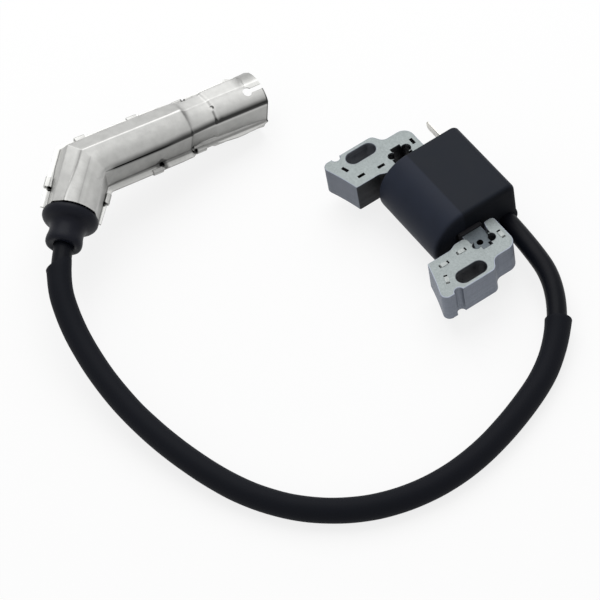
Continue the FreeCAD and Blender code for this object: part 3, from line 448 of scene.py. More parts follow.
def rubbery(name, shade, roughness, gloss=0.2):
    """Rubber or soft vinyl: dull, with faint dust and shallow unevenness."""
    material, finish = new_finish(name)
    dust = finish.grain(0.9, 4.0, roughness=0.65)
    wave = finish.grain(6.0, 2.0)
    pores = finish.grain(0.14, 1.0)
    normal = finish.bump(wave, 0.12, finish.bump(pores, 0.01))
    finish.surface(Base_Color=finish.tinted(shade, 0.80 + 0.40 * dust),
                   Roughness=roughness - 0.06 + 0.12 * dust, Normal=normal,
                   Specular_IOR_Level=gloss)
    return material


def wound(name, shade, pitch):
    """Enamelled wire wound round X: one ridge to a turn."""
    material, finish = new_finish(name)
    across = finish.along(finish.place(), (1, 0, 0))
    ridge = 0.5 + 0.5 * finish.math("COSINE", across * (math.tau / pitch))
    # Painted shade: the wire is darker in the grooves between turns.
    finish.surface(Base_Color=finish.tinted(shade, 0.55 + 0.6 * ridge), Metallic=0.8,
                   Roughness=0.28 + 0.1 * finish.grain(1.5), Normal=finish.bump(ridge, 0.06))
    return material


def strip_metal(name, shade, roughness=0.3):
    """Rolled strip with faint rolling lines and small stains."""
    material, finish = new_finish(name)
    lines = finish.grain(0.2, 2.0, (0.06, 1, 1))
    stain = finish.grain(1.8, 3.0)
    finish.surface(Base_Color=finish.tinted(shade, 0.82 + 0.14 * lines + 0.12 * stain), Metallic=0.9,
                   Roughness=roughness - 0.06 + 0.16 * stain, Normal=finish.bump(lines, 0.008))
    return material


def glass_board(name):
    """Glass-epoxy board with its weave and tinned tracks."""
    material, finish = new_finish(name)
    x, _, z = finish.axes(finish.place())
    weave = finish.math("SINE", x * 9.0) * finish.math("SINE", z * 9.0)
    tracks = finish.grain(2.4, 0.0, (0.4, 1, 1)).smooth(0.52, 0.56)
    shade = finish.mix(tracks, linear(28, 84, 52), linear(60, 128, 74))
    finish.surface(Base_Color=finish.tinted(shade, 0.92 + 0.08 * weave), Roughness=0.35,
                   Coat_Weight=0.4)
    return material


def banded(name, body, band):
    """Lacquered resistor bodies with generic rings of colour."""
    material, finish = new_finish(name)
    x = finish.along(finish.place(), (1, 0, 0))
    ring = finish.math("SINE", x * 6.0).smooth(0.55, 0.7)
    clouds = finish.grain(0.8)
    finish.surface(Base_Color=finish.tinted(finish.mix(ring, body, band), 0.85 + 0.3 * clouds),
                   Roughness=0.3, Coat_Weight=0.5)
    return material


# Tabs as (tube, place along it, side, end with a slit): places in millimetres from the elbow.
TABS = [("upper", 4.5, 1, -1), ("upper", 26.0, 1, 1), ("upper", 44.5, 1, 1),
        ("upper", 24.5, -1, 1), ("upper", 43.5, -1, -1), ("lower", -9.4, 1, -1), ("lower", -9.0, -1, -1)]


def slit_shadows(finish, spot):
    """Painted shadows at the slits beside the tabs."""
    past_tab, from_middle, height = 2.5, 10.0, 0.6
    spots = []
    for tube, place, side, end in TABS:
        forwards = LONG if tube == "upper" else INTO
        middle = forwards * (place + past_tab * end) + CROWN.cross(forwards) * side * from_middle
        gap = finish.node("ShaderNodeVectorMath", {"operation": "DISTANCE"},
                          {0: spot, 1: tuple(middle + CROWN * height)}, "Value")
        spots.append(gap.smooth(1.25, 0.75))
    return sum(spots)


def shield_measures(finish):
    """Where a spot lies on the shield: millimetres from the elbow, and degrees round each tube."""
    spot = finish.node("ShaderNodeVectorMath", {"operation": "SUBTRACT"},
                       {0: finish.place(), 1: tuple(ELBOW / MM)})
    height = finish.along(spot, CROWN)
    side_upper = finish.along(spot, CROWN.cross(LONG))
    side_lower = finish.along(spot, CROWN.cross(INTO))
    upper = finish.along(spot, (INTO + LONG).normalized()).smooth(-0.6, 0.6)
    return SimpleNamespace(
        spot=spot, height=height, run=finish.along(spot, LONG), into=finish.along(spot, INTO),
        upper=upper, lower=1 - upper, flank=side_upper * upper + side_lower * (1 - upper),
        turn_upper=finish.math("ARCTAN2", side_upper, height) * (180 / math.pi),
        turn_lower=finish.math("ARCTAN2", side_lower, height) * (180 / math.pi),
        crown_side=height.smooth(-0.5, 0.5))


def shield_painted_shade(finish, at):
    """Painted shade and dark reflections in the shield's creases, steps, flange roots and folds, painted
    shadows in its tab slits, and darker along its rim, from 0 to 1.
    """
    narrowed = at.run.smooth(WAIST - 1, STEP + 1)
    # The crease's dark line is a painted dark reflection, softened past the step.
    crease_turn = -40.8 + 2.4 * at.run.smooth(26.0, 38.0) + 3.0 * narrowed
    past = at.turn_upper - crease_turn
    strength = 0.70 + 0.30 * at.run.smooth(4.5, 30.0) - 0.34 * at.run.smooth(STEP, STEP + 3)
    crease = past.band(-6.0, -2.0, 1.0, 14.0) * at.upper * at.run.smooth(3.5, 8.0) * strength
    softened = past.band(-6.0, 0.0, 1.0, 24.0) * at.run.smooth(STEP, STEP + 2) * at.upper
    # Painted shade at the step and the waist; darker along the mouth's rim.
    ring = at.run.bell(STEP - 0.3, 0.75) * at.turn_upper.band(-42.0, -38.0, -12.0, -8.0)
    rim = at.run.smooth(UPPER_TUBE - 0.6, UPPER_TUBE - 0.3) * at.turn_upper.smooth(0.0, -4.0)
    waist = at.run.bell(WAIST, 0.8) * at.turn_upper.smooth(30.0, 5.0)
    painted_shade = at.crown_side * (0.88 * crease + 0.42 * softened + 0.6 * ring + 0.6 * rim + 0.3 * waist)
    # Painted shadows in the slits beside the tabs.
    painted_shade = finish.math("MINIMUM", painted_shade + 0.9 * slit_shadows(finish, at.spot), 0.92)
    # Painted shade where the walls meet the flanges.
    low_down = at.height.band(0.1, 0.4, 0.9, 1.7)
    root = low_down * ((at.flank + 9.5).absolute().smooth(0.8, 0.2)
                       + (at.flank - 9.9).absolute().smooth(0.8, 0.2))
    # Painted dark reflections along the lower tube's folds and in a thin line along the crease near the
    # elbow.
    ridge = 24.5 - 8.1 * at.into.smooth(-LOWER_TUBE, -2.0)
    fold = (at.turn_lower - ridge).absolute().smooth(2.6, 0.4) + 0.5 * at.turn_lower.bell(-3.0, 2.0)
    line = past.absolute().smooth(2.2, 0.6) * at.run.band(1.5, 3.5, 20.0, 34.0) * at.upper
    return painted_shade + 0.4 * root + (0.36 * fold * at.lower + 0.45 * line) * at.crown_side


def shield_finish(name, shade):
    """Drawn tinplate with faint draw lines and rougher walls; light, shade and reflections are painted into
    its tone by place.
    """
    material, finish = new_finish(name)
    at = shield_measures(finish)
    fine = finish.grain(0.3, 3.0, roughness=0.6)
    clouds = finish.grain(3.2, 4.0, roughness=0.6)
    draw = finish.grain(0.35, 2.0, (0.05, 1, 1))
    # Places round the tubes where light and shade are painted into the tone below.
    wall = at.turn_upper.smooth(-42.0, -47.0) * at.upper
    lower_wall = at.turn_lower.smooth(-48.0, -70.0) * at.lower
    lit = at.turn_lower.band(-12.0, 0.0, 18.0, 26.0) * at.lower * at.crown_side
    turned_away = at.turn_lower.band(-60.0, -48.0, -24.0, -13.0) * at.lower * at.crown_side
    flange = at.height.smooth(0.75, 0.5) * at.flank.absolute().smooth(9.6, 10.2)
    strip = at.turn_upper.smooth(14.0, 22.0) * at.upper
    step_top = at.run.bell(STEP, 0.9) * at.turn_upper.smooth(-4.0, 6.0) * at.crown_side
    slope = at.turn_upper.band(-14.0, 10.0, 13.0, 16.0) * at.upper
    ridge = at.turn_upper.bell(17.0, 3.0) * at.upper * at.run.smooth(66.0, 63.0)
    # Painted shade on the walls.
    tone = 0.76 + 0.36 * clouds + 0.08 * draw - 0.20 * wall * at.crown_side - 0.12 * lower_wall
    # Painted light on the flanges and on the lower tube's band turned from the lamp, painted shade over its
    # lamp-lit band; lighter past the waist.
    tone = tone + 0.3 * flange + 0.18 * at.run.smooth(WAIST - 1, STEP + 1) - 0.34 * lit + 0.14 * turned_away
    # Painted shade on the far strip towards the mouth and on the step's top.
    tone = tone - (0.02 + 0.34 * at.run.smooth(63.0, 66.0)) * strip - 0.24 * step_top
    # Painted shade on the slope below the ridge and a painted highlight along the ridge; the creases' painted
    # shade darkens all of it.
    tone = (tone - 0.34 * slope + 0.16 * ridge) * (1 - shield_painted_shade(finish, at))
    finish.surface(Base_Color=finish.tinted(shade, tone), Metallic=1.0,
                   Roughness=0.38 + 0.12 * clouds + 0.10 * wall,
                   Normal=finish.bump(fine, 0.006, finish.bump(draw, 0.004)))
    return material


# ---- mesh helpers --------------------------------------------------------------------------------
def new_piece(name, mesh, body, slot, *replaced, crisp=38.0, place=None):
    """Link a mesh as a piece that rides on a body; the slot argument is not used."""
    if place is not None:
        mesh.transform(place)
    piece = bpy.data.objects.new(name, mesh)
    bpy.context.scene.collection.objects.link(piece)
    mesh.shade_smooth()
    mesh.set_sharp_from_angle(angle=math.radians(crisp))
    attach(piece, body)
    if replaced:
        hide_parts(*replaced)
    return piece


def mesh_from(name, points, faces, *materials):
    """Mesh from points in millimetres, its normals pointing outwards."""
    mesh = bpy.data.meshes.new(name)
    mesh.from_pydata([tuple(value * MM for value in point) for point in points], [], faces)
    for material in materials:
        mesh.materials.append(material)
    outward(mesh)
    return mesh


def outward(mesh):
    """Make a closed mesh's normals point outwards."""
    shape = bmesh.new()
    shape.from_mesh(mesh)
    bmesh.ops.recalc_face_normals(shape, faces=shape.faces)
    shape.to_mesh(mesh)
    shape.free()


def grid_faces(rows, columns, first=0, close_rows=False, close_columns=False):
    """Quads of a grid whose points are listed row by row."""
    faces = []
    for row in range(rows if close_rows else rows - 1):
        for column in range(columns if close_columns else columns - 1):
            after, beside = (row + 1) % rows, (column + 1) % columns
            faces.append((first + row * columns + column, first + after * columns + column,
                          first + after * columns + beside, first + row * columns + beside))
    return faces


def ringed(name, rings, *materials):
    """Closed solid through rings of points, capped at its first and last ring."""
    count, last = len(rings[0]), len(rings) - 1
    faces = grid_faces(len(rings), count, 0, False, True)
    faces += [tuple(range(count)), tuple(range(last * count, (last + 1) * count))]
    return mesh_from(name, [point for ring in rings for point in ring], faces, *materials)


def circle(middle, radius, steps):
    """Points of a circle, in the plane that its middle is given in."""
    turns = [math.tau * step / steps for step in range(steps)]
    return [(middle[0] + radius * math.cos(turn), middle[1] + radius * math.sin(turn)) for turn in turns]


def carved(mesh, tools, operation="DIFFERENCE"):
    """Mesh after a boolean with tool meshes in the same frame."""
    scene = bpy.context.scene.collection.objects
    target = bpy.data.objects.new("carving", mesh)
    scene.link(target)
    helpers = []
    for tool in tools:
        helper = bpy.data.objects.new("tool", tool)
        scene.link(helper)
        helpers.append(helper)
        step = target.modifiers.new("cut", "BOOLEAN")
        step.operation = operation
        step.solver = "EXACT"
        step.object = helper
    bpy.context.view_layer.update()
    graph = bpy.context.evaluated_depsgraph_get()
    result = bpy.data.meshes.new_from_object(target.evaluated_get(graph))
    for helper in helpers + [target]:
        bpy.data.objects.remove(helper)
    return result


def box_tool(low, high):
    """Box mesh between two corners in millimetres."""
    points = [(x, y, z) for x in (low[0], high[0]) for y in (low[1], high[1]) for z in (low[2], high[2])]
    faces = [(0, 1, 3, 2), (4, 6, 7, 5), (0, 4, 5, 1), (2, 3, 7, 6), (0, 2, 6, 4), (1, 5, 7, 3)]
    return mesh_from("box tool", points, faces)


def rod_tool(middle, radius, low, high, steps=40):
    """Upright rod mesh in millimetres."""
    return ringed("rod tool", [[(x, y, z) for x, y in circle(middle, radius, steps)] for z in (low, high)])


def paint(node, material):
    """Give a CAD node's mesh one finish."""
    mesh = frame["nodes"][node].data
    mesh.materials.clear()
    mesh.materials.append(material)
    for face in mesh.polygons:
        face.material_index = 0


# ---- lead and sleeve -----------------------------------------------------------------------------
def route_curve(name, radius, material):
    """Open spline along the route, drawn as a round cord."""
    data = bpy.data.curves.new(name, "CURVE")
    data.dimensions = "3D"
    spline = data.splines.new("NURBS")
    spline.points.add(len(ROUTE) - 1)
    for point, place in zip(spline.points, ROUTE):
        point.co = (*place, 1)
    spline.order_u = 3
    spline.use_endpoint_u = True
    spline.resolution_u = 16
    data.bevel_depth = radius
    data.bevel_resolution = 10
    data.use_fill_caps = radius > 0
    if material:
        data.materials.append(material)
    piece = bpy.data.objects.new(name, data)
    bpy.context.scene.collection.objects.link(piece)
    return piece


def route_points():
    """Points along the lead's line, in millimetres."""
    line = route_curve("lead line", 0, None)
    bpy.context.view_layer.update()
    graph = bpy.context.evaluated_depsgraph_get()
    mesh = bpy.data.meshes.new_from_object(line.evaluated_get(graph))
    points = [vertex.co / MM for vertex in mesh.vertices]
    bpy.data.objects.remove(line)
    return points


class Path:
    """A line through close points, with a steady frame along it."""

    def __init__(self, points):
        self.points = points
        self.reach = [0.0]
        for before, after in zip(points, points[1:]):
            self.reach.append(self.reach[-1] + (after - before).length)
        self.length = self.reach[-1]
        tangents = [(points[min(i + 1, len(points) - 1)] - points[max(i - 1, 0)]).normalized()
                    for i in range(len(points))]
        self.tangents = tangents
        up = Vector((0, 0, 1))
        self.ups = []
        for tangent in tangents:
            up = (up - tangent * up.dot(tangent)).normalized()
            self.ups.append(up)

    def at(self, travelled):
        """Point, tangent, up and side at a distance along the line."""
        travelled = min(max(travelled, 0.0), self.length)
        index = max(i for i in range(len(self.reach) - 1) if self.reach[i] <= travelled)
        share = (travelled - self.reach[index]) / (self.reach[index + 1] - self.reach[index])
        point = self.points[index].lerp(self.points[index + 1], share)
        tangent = self.tangents[index].lerp(self.tangents[index + 1], share).normalized()
        up = self.ups[index].lerp(self.ups[index + 1], share)
        up = (up - tangent * up.dot(tangent)).normalized()
        return point, tangent, up, tangent.cross(up)


def sleeve_mesh(path, settings, material):
    """Loose sleeve: flared lip at the coil's end, lying off-centre there, and a slanted cut at the boot's."""
    outer, wall = settings.sleeve_diameter / MM / 2, settings.sleeve_wall / MM
    in_case, in_boot = 8.0, 9.0
    start = in_case + settings.sleeve_start / MM
    stop = path.length - in_boot - settings.sleeve_stop / MM
    flare, flare_run, droop, droop_run, push, push_run = 0.42, 7.0, 0.5, 9.0, 0.75, 7.0
    lip_run, back, lip_soft, tail_soft = 0.35, 0.08, 0.12, 0.1
    uneven, waviness, slant, lowest = 0.07, 0.11, 2.8, 0.05
    crowding = 1.15
    stations, around = 130, 56
    outside, inside = [], []
    for index in range(stations + 1):
        travelled = start + lip_run + (stop - start - 2 * lip_run) * (index / stations) ** crowding
        widened = outer + flare * math.exp(-(travelled - start) / flare_run)
        outside.append((travelled, widened))
        inside.append((travelled, widened - wall))
    lip = [(start + back, outer + flare - lip_soft), (start, outer + flare - wall / 2),
           (start + back, outer + flare - wall + lip_soft)]
    tail = [(stop - back, outer - tail_soft), (stop, outer - wall / 2),
            (stop - back, outer - wall + tail_soft)]
    profile = outside + tail + inside[::-1] + lip[::-1]
    points = []
    for travelled, radius in profile:
        point, tangent, up, side = path.at(travelled)
        drooped = math.exp(-(travelled - start) / droop_run)
        pushed = math.exp(-(stop - travelled) / push_run)
        centre = point - side * (droop * drooped + push * pushed)
        for step in range(around):
            turn = math.tau * step / around
            outwards = up * math.cos(turn) + side * math.sin(turn)
            wave = uneven * noise.noise((point + outwards * outer) * waviness)
            reach = radius + (wave if radius > outer - wall / 2 else 0)
            place = centre + tangent * (-slant * pushed ** 3 * outwards.dot(-side)) + outwards * reach
            points.append((place.x, place.y, max(place.z, lowest)))
    faces = grid_faces(len(profile), around, 0, True, True)
    return mesh_from("lead sleeve", points, faces, material)


# ---- laminated stacks ----------------------------------------------------------------------------
def level_loops(node, height):
    """Outlines of a CAD node at a height, in millimetres, with its material on the left."""
    shape = bmesh.new()
    shape.from_mesh(frame["nodes"][node].data)
    weld, fine_weld = MM / 200, MM / 1000
    bmesh.ops.remove_doubles(shape, verts=shape.verts, dist=weld)
    everything = shape.verts[:] + shape.edges[:] + shape.faces[:]
    bmesh.ops.bisect_plane(shape, geom=everything, plane_co=(0, 0, height), plane_no=(0, 0, 1),
                           clear_inner=True, clear_outer=True)
    bmesh.ops.remove_doubles(shape, verts=shape.verts, dist=fine_weld)
    loops, left = [], set(shape.verts)
    while left:
        vertex = left.pop()
        loop, edge = [vertex], vertex.link_edges[0]
        while True:
            vertex = edge.other_vert(vertex)
            if vertex is loop[0]:
                break
            left.discard(vertex)
            loop.append(vertex)
            edge = next(e for e in vertex.link_edges if e is not edge)
        loops.append([Vector((v.co.x / MM, v.co.y / MM)) for v in loop])
    shape.free()
    loops.sort(key=lambda loop: -abs(signed_area(loop)))
    return [loop if (signed_area(loop) > 0) == (index == 0) else loop[::-1]
            for index, loop in enumerate(loops)]


def signed_area(loop):
    """Area of a flat loop, positive if it runs anticlockwise."""
    return sum(a.x * b.y - b.x * a.y for a, b in zip(loop, loop[1:] + loop[:1])) / 2


def inset_loop(loop, depth):
    """Loop moved into its material by a depth."""
    moved, least_squeeze = [], 0.4
    for before, point, after in zip(loop[-1:] + loop[:-1], loop, loop[1:] + loop[:1]):
        first, second = (point - before).normalized(), (after - point).normalized()
        normal = Vector((first.y + second.y, -first.x - second.x))
        squeeze = max(1 + first.dot(second), least_squeeze)
        moved.append(point - normal / squeeze * depth)
    return moved


def stack_mesh(name, node, sheets, rim, groove, seed, *materials):
    """Laminated stack on a CAD node's outline: grooves between sheets and soft level rims."""
    low, high = box_mm(node)
    bottom, top = low[2], high[2]
    cut_below_middle, rim_steps, most_shift = 0.9, 3, 0.028
    loops = level_loops(node, ((bottom + top) / 2 - cut_below_middle) * MM)
    rng = random.Random(seed)
    pitch = (top - bottom) / sheets
    soft = 0.16 * pitch
    turns = [math.pi / 2 * step / rim_steps for step in range(rim_steps + 1)]
    rim_rows = [(rim * (1 - math.sin(turn)), rim * (1 - math.cos(turn))) for turn in turns]
    rows = [(bottom + up, depth) for up, depth in rim_rows] + [(top - up, depth) for up, depth in rim_rows]
    for sheet in range(sheets):
        base, shift = bottom + sheet * pitch, rng.uniform(0, most_shift)
        if sheet:
            rows += [(base, groove + shift), (base + soft, shift)]
        if sheet < sheets - 1:
            rows.append((base + pitch - soft, shift))
    rows.sort(key=lambda row: row[0])
    points, faces, caps = [], [], {0: [], len(rows) - 1: []}
    for loop in loops:
        first = len(points)
        for index, (height, depth) in enumerate(rows):
            if index in caps:
                caps[index].append(len(points))
            points += [(p.x, p.y, height) for p in inset_loop(loop, depth)]
        faces += grid_faces(len(rows), len(loop), first, False, True)
    sides = len(faces)
    for starts in caps.values():
        rings = [[Vector(points[start + i]) for i in range(len(loop))]
                 for start, loop in zip(starts, loops)]
        numbers = [start + i for start, loop in zip(starts, loops) for i in range(len(loop))]
        faces += [tuple(numbers[i] for i in corner) for corner in tessellate_polygon(rings)]
    mesh = mesh_from(name, points, faces, *materials)
    for face in mesh.polygons:
        face.material_index = FACE if face.index >= sides else EDGE
    return mesh


def dimple_frames(mirrored):
    """Frames of the lamination dimples on a leg's top, X along each one's long side."""
    sign = -1 if mirrored else 1
    top = box_mm("far_leg" if mirrored else "near_leg")[1][2]
    frames = []
    for x, y, turn in DIMPLES:
        place = Vector((sign * (SLOT[0] + x), SLOT[1] + y, top))
        frames.append(Matrix.Translation(place) @ Matrix.Rotation(sign * math.radians(turn), 4, "Z"))
    return frames


def dimple_solids(outline, half_width, mirrored):
    """One mesh with a solid at each dimple, its outline given as (along the dimple, height)."""
    points, faces, count = [], [], len(outline)
    for place in dimple_frames(mirrored):
        first = len(points)
        points += [place @ Vector((x, side * half_width, z)) for side in (-1, 1) for x, z in outline]
        faces += grid_faces(2, count, first, False, True)
        faces += [tuple(range(first, first + count)), tuple(range(first + count, first + 2 * count))]
    return mesh_from("dimples", points, faces)


def darkened(tool):
    """Tool mesh whose cuts take the stack's dark material."""
    for face in tool.polygons:
        face.material_index = DARK
    return tool


def joined(mesh, extra, material_index):
    """Add another mesh's faces to a mesh, all with one material."""
    shape = bmesh.new()
    shape.from_mesh(mesh)
    count = len(shape.faces)
    shape.from_mesh(extra)
    shape.faces.ensure_lookup_table()
    for face in shape.faces[count:]:
        face.material_index = material_index
    shape.to_mesh(mesh)
    shape.free()
    return mesh


# ---- boot geometry -------------------------------------------------------------------------------
Section = namedtuple("Section", "flange_in root_in crease radius ridge shoulder shoulder_height"
                                " root_out flange_out")

# Sections of the crown half, from the seam on the bend's inner side to the outer one: distances of the
# flanges' edges and roots from the middle, the crease's and the ridge's angles from the crown, the crown's
# radius, and the shoulder's side and height. Each key stands at a place in millimetres from the elbow.
ELBOW_SECTION = Section(-12.0, -10.0, -41.0, 11.0, 16.4, 8.3, 7.2, 10.0, 11.8)
LOWER_KEYS = [
    (-LOWER_TUBE, Section(-11.0, -10.0, -44.0, 10.7, 24.5, 8.2, 6.7, 9.3, 11.4)),
    (-12.0, Section(-11.3, -10.0, -43.0, 10.8, 23.0, 8.2, 6.8, 9.4, 11.7)),
    (-3.0, ELBOW_SECTION),
]
UPPER_KEYS = [
    (3.0, ELBOW_SECTION),
    (10.0, Section(-12.0, -9.6, -40.8, 11.0, 16.4, 8.5, 7.1, 10.4, 11.5)),
    (34.0, Section(-11.8, -9.2, -38.8, 10.8, 17.4, 8.4, 7.0, 10.3, 11.5)),
    (39.6, Section(-11.6, -9.1, -38.2, 10.75, 19.0, 8.2, 7.0, 10.1, 11.1)),
    (41.4, Section(-10.9, -8.3, -36.4, 9.85, 15.0, 7.4, 6.8, 9.2, 10.8)),
    (46.0, Section(-10.0, -7.7, -36.0, 9.85, 14.5, 7.3, 6.9, 9.0, 10.3)),
    (50.2, Section(-10.0, -7.7, -36.0, 9.85, 14.2, 7.4, 6.9, 9.1, 10.7)),
    (51.6, Section(-10.6, -8.2, -35.4, 10.3, 13.8, 8.0, 7.2, 9.6, 10.9)),
    (60.0, Section(-11.2, -8.4, -35.0, 10.3, 13.6, 8.1, 7.3, 9.8, 11.3)),
    (66.4, Section(-10.9, -8.6, -34.4, 10.3, 13.4, 8.1, 7.3, 9.9, 11.6)),
    (68.2, Section(-10.7, -8.8, -33.8, 10.35, 46.0, 9.7, 3.6, 10.15, 10.6)),
    (70.5, Section(-10.4, -9.0, -33.4, 10.4, 48.0, 9.75, 3.6, 10.2, 10.6)),
    (UPPER_TUBE, Section(-9.9, -9.2, -33.4, 10.55, 48.0, 9.9, 3.6, 10.3, 10.6)),
]
# Rows of the shield's mesh along its tubes, closer where its section changes.
LOWER_PLACES = [-LOWER_TUBE, -19.1, -18.0, -16.0, -14.0, -12.0, -10.0, -8.2]
UPPER_PLACES = [9, 12, 15, 18, 21, 24, 27, 30, 33, 35, 37, 38.4, 39.2, 39.7, 40.1, 40.5, 40.9, 41.4, 42.4,
                44, 46, 48, 49.4, 50.1, 50.5, 50.9, 51.3, 51.8, 52.6, 54, 56, 58, 60, 62, 64, 65.5, 66.5,
                67.2, 67.8, 68.4, 69.2, 70.2, 71.2, 71.9, UPPER_TUBE]
ARC_STEPS = 30
TURN_STEPS = 9
BASE_ARC = 62


def section_at(part, place):
    """Section at a place along a straight part, smooth between its keys, or at the elbow."""
    if part == "elbow":
        return ELBOW_SECTION
    keys = LOWER_KEYS if part == "lower" else UPPER_KEYS
    if place <= keys[0][0]:
        return keys[0][1]
    for (start, first), (stop, second) in zip(keys, keys[1:]):
        if place <= stop:
            share = (place - start) / (stop - start)
            share = share * share * (3 - 2 * share)
            return Section(*(a + (b - a) * share for a, b in zip(first, second)))
    return keys[-1][1]


def soft_corner(before, corner, after, radius, steps):
    """Points of a rounded corner, from one of its sides to the other."""
    back, ahead = (before - corner).normalized(), (after - corner).normalized()
    least_half, most_of_side = 0.2, 0.45
    half = max(back.angle(ahead) / 2, least_half)
    reach = min(radius / math.tan(half), (before - corner).length * most_of_side,
                (after - corner).length * most_of_side)
    first, last = corner + back * reach, corner + ahead * reach
    shares = [step / steps for step in range(steps + 1)]
    return [first.lerp(corner, share).lerp(corner.lerp(last, share), share) for share in shares]


def half_section(section, crown_half):
    """Outer outline of one shield half in (side, height), its height always counted from the seam."""
    first, last = (section.crease, section.ridge) if crown_half else (-BASE_ARC, BASE_ARC)
    turns = [math.radians(first + (last - first) * step / ARC_STEPS) for step in range(ARC_STEPS + 1)]
    arc = [Vector((math.sin(turn), math.cos(turn))) * section.radius for turn in turns]
    edge, root, sharp = (0.15, 3), (0.45, 5), (0, 1)
    corners = [(Vector((section.flange_in, SHEET)), *edge), (Vector((section.root_in, SHEET)), *root)]
    if crown_half:
        raised_ridge = arc[-1] * 1.008
        corners += [(arc[0], 1.5, 8)] + [(point, *sharp) for point in arc[2:-2]]
        corners += [(raised_ridge, 0.45, 6), (Vector((section.shoulder, section.shoulder_height)), 1.3, 8)]
    else:
        corners += [(point, *sharp) for point in arc]
    corners += [(Vector((section.root_out, SHEET)), *root), (Vector((section.flange_out, SHEET)), *edge)]
    line = [Vector((section.flange_in, 0))] + [corner for corner, _, _ in corners]
    line.append(Vector((section.flange_out, 0)))
    outline = []
    for index, (corner, radius, steps) in enumerate(corners):
        more = soft_corner(line[index], corner, line[index + 2], radius, steps) if radius else [corner]
        if outline and radius:
            outline += [outline[-1].lerp(more[0], third / 3) for third in (1, 2)]
        outline += more
    return outline


def inset_outline(outline, depth):
    """Open outline moved inwards, towards the tube's axis and the seam."""
    moved = []
    for before, point, after in zip(outline[:1] + outline[:-1], outline, outline[1:] + outline[-1:]):
        ahead = after - before
        moved.append(point - Vector((-ahead.y, ahead.x)).normalized() * depth)
    return moved


def elbow_round(side):
    """Radius of the bend's corner by how far across the tube a line lies: soft only over the crown."""
    sharp, softness = 0.8, 11.0
    crown = min(max((side + 8.0) / 3.0, 0), 1) * min(max((3.4 - side) / 2.4, 0), 1)
    return sharp + softness * crown * crown * (3 - 2 * crown)


def on_bend(part, place, side, height):
    """Point on the bent tube: a distance from the elbow along a straight part, or a share of its turn."""
    if part == "lower":
        return Vector((place, side, height))
    if part == "upper":
        along, across = Vector((math.cos(BEND), -math.sin(BEND))), Vector((math.sin(BEND), math.cos(BEND)))
        return (along * place + across * side).to_3d() + Vector((0, 0, height))
    radius, turn = elbow_round(side), BEND * place
    centre = side - radius
    return Vector((centre * math.tan(BEND / 2) + radius * math.sin(turn), centre + radius * math.cos(turn),
                   height))


def bent_grid(outline_at, sign):
    """Rows of points of a surface on the bent tube, from the rim to the mouth."""
    corner = outline_at("elbow", 0)
    starts = [(point.x - elbow_round(point.x)) * math.tan(BEND / 2) for point in corner]
    low_end, high_end = LOWER_PLACES[-1], UPPER_PLACES[0]

    def row(part, places):
        """Points on a straight part, each column at its own place."""
        points = [outline_at(part, place)[column] for column, place in enumerate(places)]
        return [on_bend(part, place, point.x, sign * point.y) for place, point in zip(places, points)]

    rows = [row("lower", [place] * len(corner)) for place in LOWER_PLACES]
    rows += [row("lower", [low_end + (start - low_end) * share for start in starts])
             for share in (0.35, 0.7, 0.9)]
    rows += [[on_bend("turn", step / TURN_STEPS, point.x, sign * point.y) for point in corner]
             for step in range(TURN_STEPS + 1)]
    rows += [row("upper", [-start + (high_end + start) * share for start in starts])
             for share in (0.1, 0.3, 0.65)]
    return rows + [row("upper", [place] * len(corner)) for place in UPPER_PLACES]


@functools.cache
def shield_outline(crown_half, depth, part, place):
    """A shield half's outline at a place, moved inwards by a depth."""
    return inset_outline(half_section(section_at(part, place), crown_half), depth)


def shell_mesh(name, crown_half, material):
    """One stamped half of the shield as a closed shell of even thickness."""
    sign = 1 if crown_half else -1
    outer, inner = [bent_grid(functools.partial(shield_outline, crown_half, depth), sign)
                    for depth in (0, SHEET)]
    rows, columns = len(outer), len(outer[0])
    points = [point for row in outer + inner for point in row]
    count = rows * columns
    faces = grid_faces(rows, columns) + grid_faces(rows, columns, count)
    border = [(0, column) for column in range(columns)] + [(row, columns - 1) for row in range(1, rows)]
    border += [(rows - 1, column) for column in range(columns - 2, -1, -1)]
    border += [(row, 0) for row in range(rows - 2, 0, -1)]
    for (row, column), (next_row, next_column) in zip(border, border[1:] + border[:1]):
        first, second = row * columns + column, next_row * columns + next_column
        faces.append((first, second, count + second, count + first))
    return mesh_from(name, points, faces, material)


def on_tube(mesh, tube):
    """Turn a mesh drawn along X so that it lies on its tube; the lower one lies along X itself."""
    if tube == "upper":
        mesh.transform(Matrix.Rotation(-BEND, 4, "Z"))
    return mesh


def flange_at(tube, place, side):
    """Distances of the flange's root and edge from the middle, at a place on one side."""
    section = section_at(tube, place)
    return (-section.root_in, -section.flange_in) if side < 0 else (section.root_out, section.flange_out)


def tab_solid(tube, place, side):
    """Tab folded up round the crown half's flange."""
    _, edge = flange_at(tube, place, side)
    flap, tuck, reach, lift, fold_round = 0.9, 0.1, 1.35, SHEET + 0.06, 0.62
    fold, tip, under, top = edge - tuck, edge - reach, -2 * SHEET, lift + SHEET
    turns = [math.pi / 2 * step / 4 for step in range(5)]
    outline = [(edge - flap, under), (fold, under)]
    outline += [(fold + fold_round * math.sin(turn), under + fold_round * (1 - math.cos(turn)))
                for turn in turns[1:]]
    outline += [(fold + fold_round * math.cos(turn), top - fold_round * (1 - math.sin(turn)))
                for turn in turns]
    outline += [(tip + 0.15, top), (tip, top - 0.12), (tip, lift + 0.05), (tip + 0.1, lift),
                (edge + 0.02, lift), (edge + 0.06, -SHEET - 0.06), (edge - flap, -SHEET)]
    half, chamfer, drawn_in = 2.0, 0.12, 0.035
    middle = Vector((edge - 0.4, lift))
    rings = []
    for x, shrink in ((-half, drawn_in), (-half + chamfer, 0.0), (half - chamfer, 0.0), (half, drawn_in)):
        ring = [Vector(point).lerp(middle, shrink) for point in outline]
        rings.append([(place + x, side * point.x, point.y) for point in ring])
    return on_tube(ringed("tab", rings), tube)


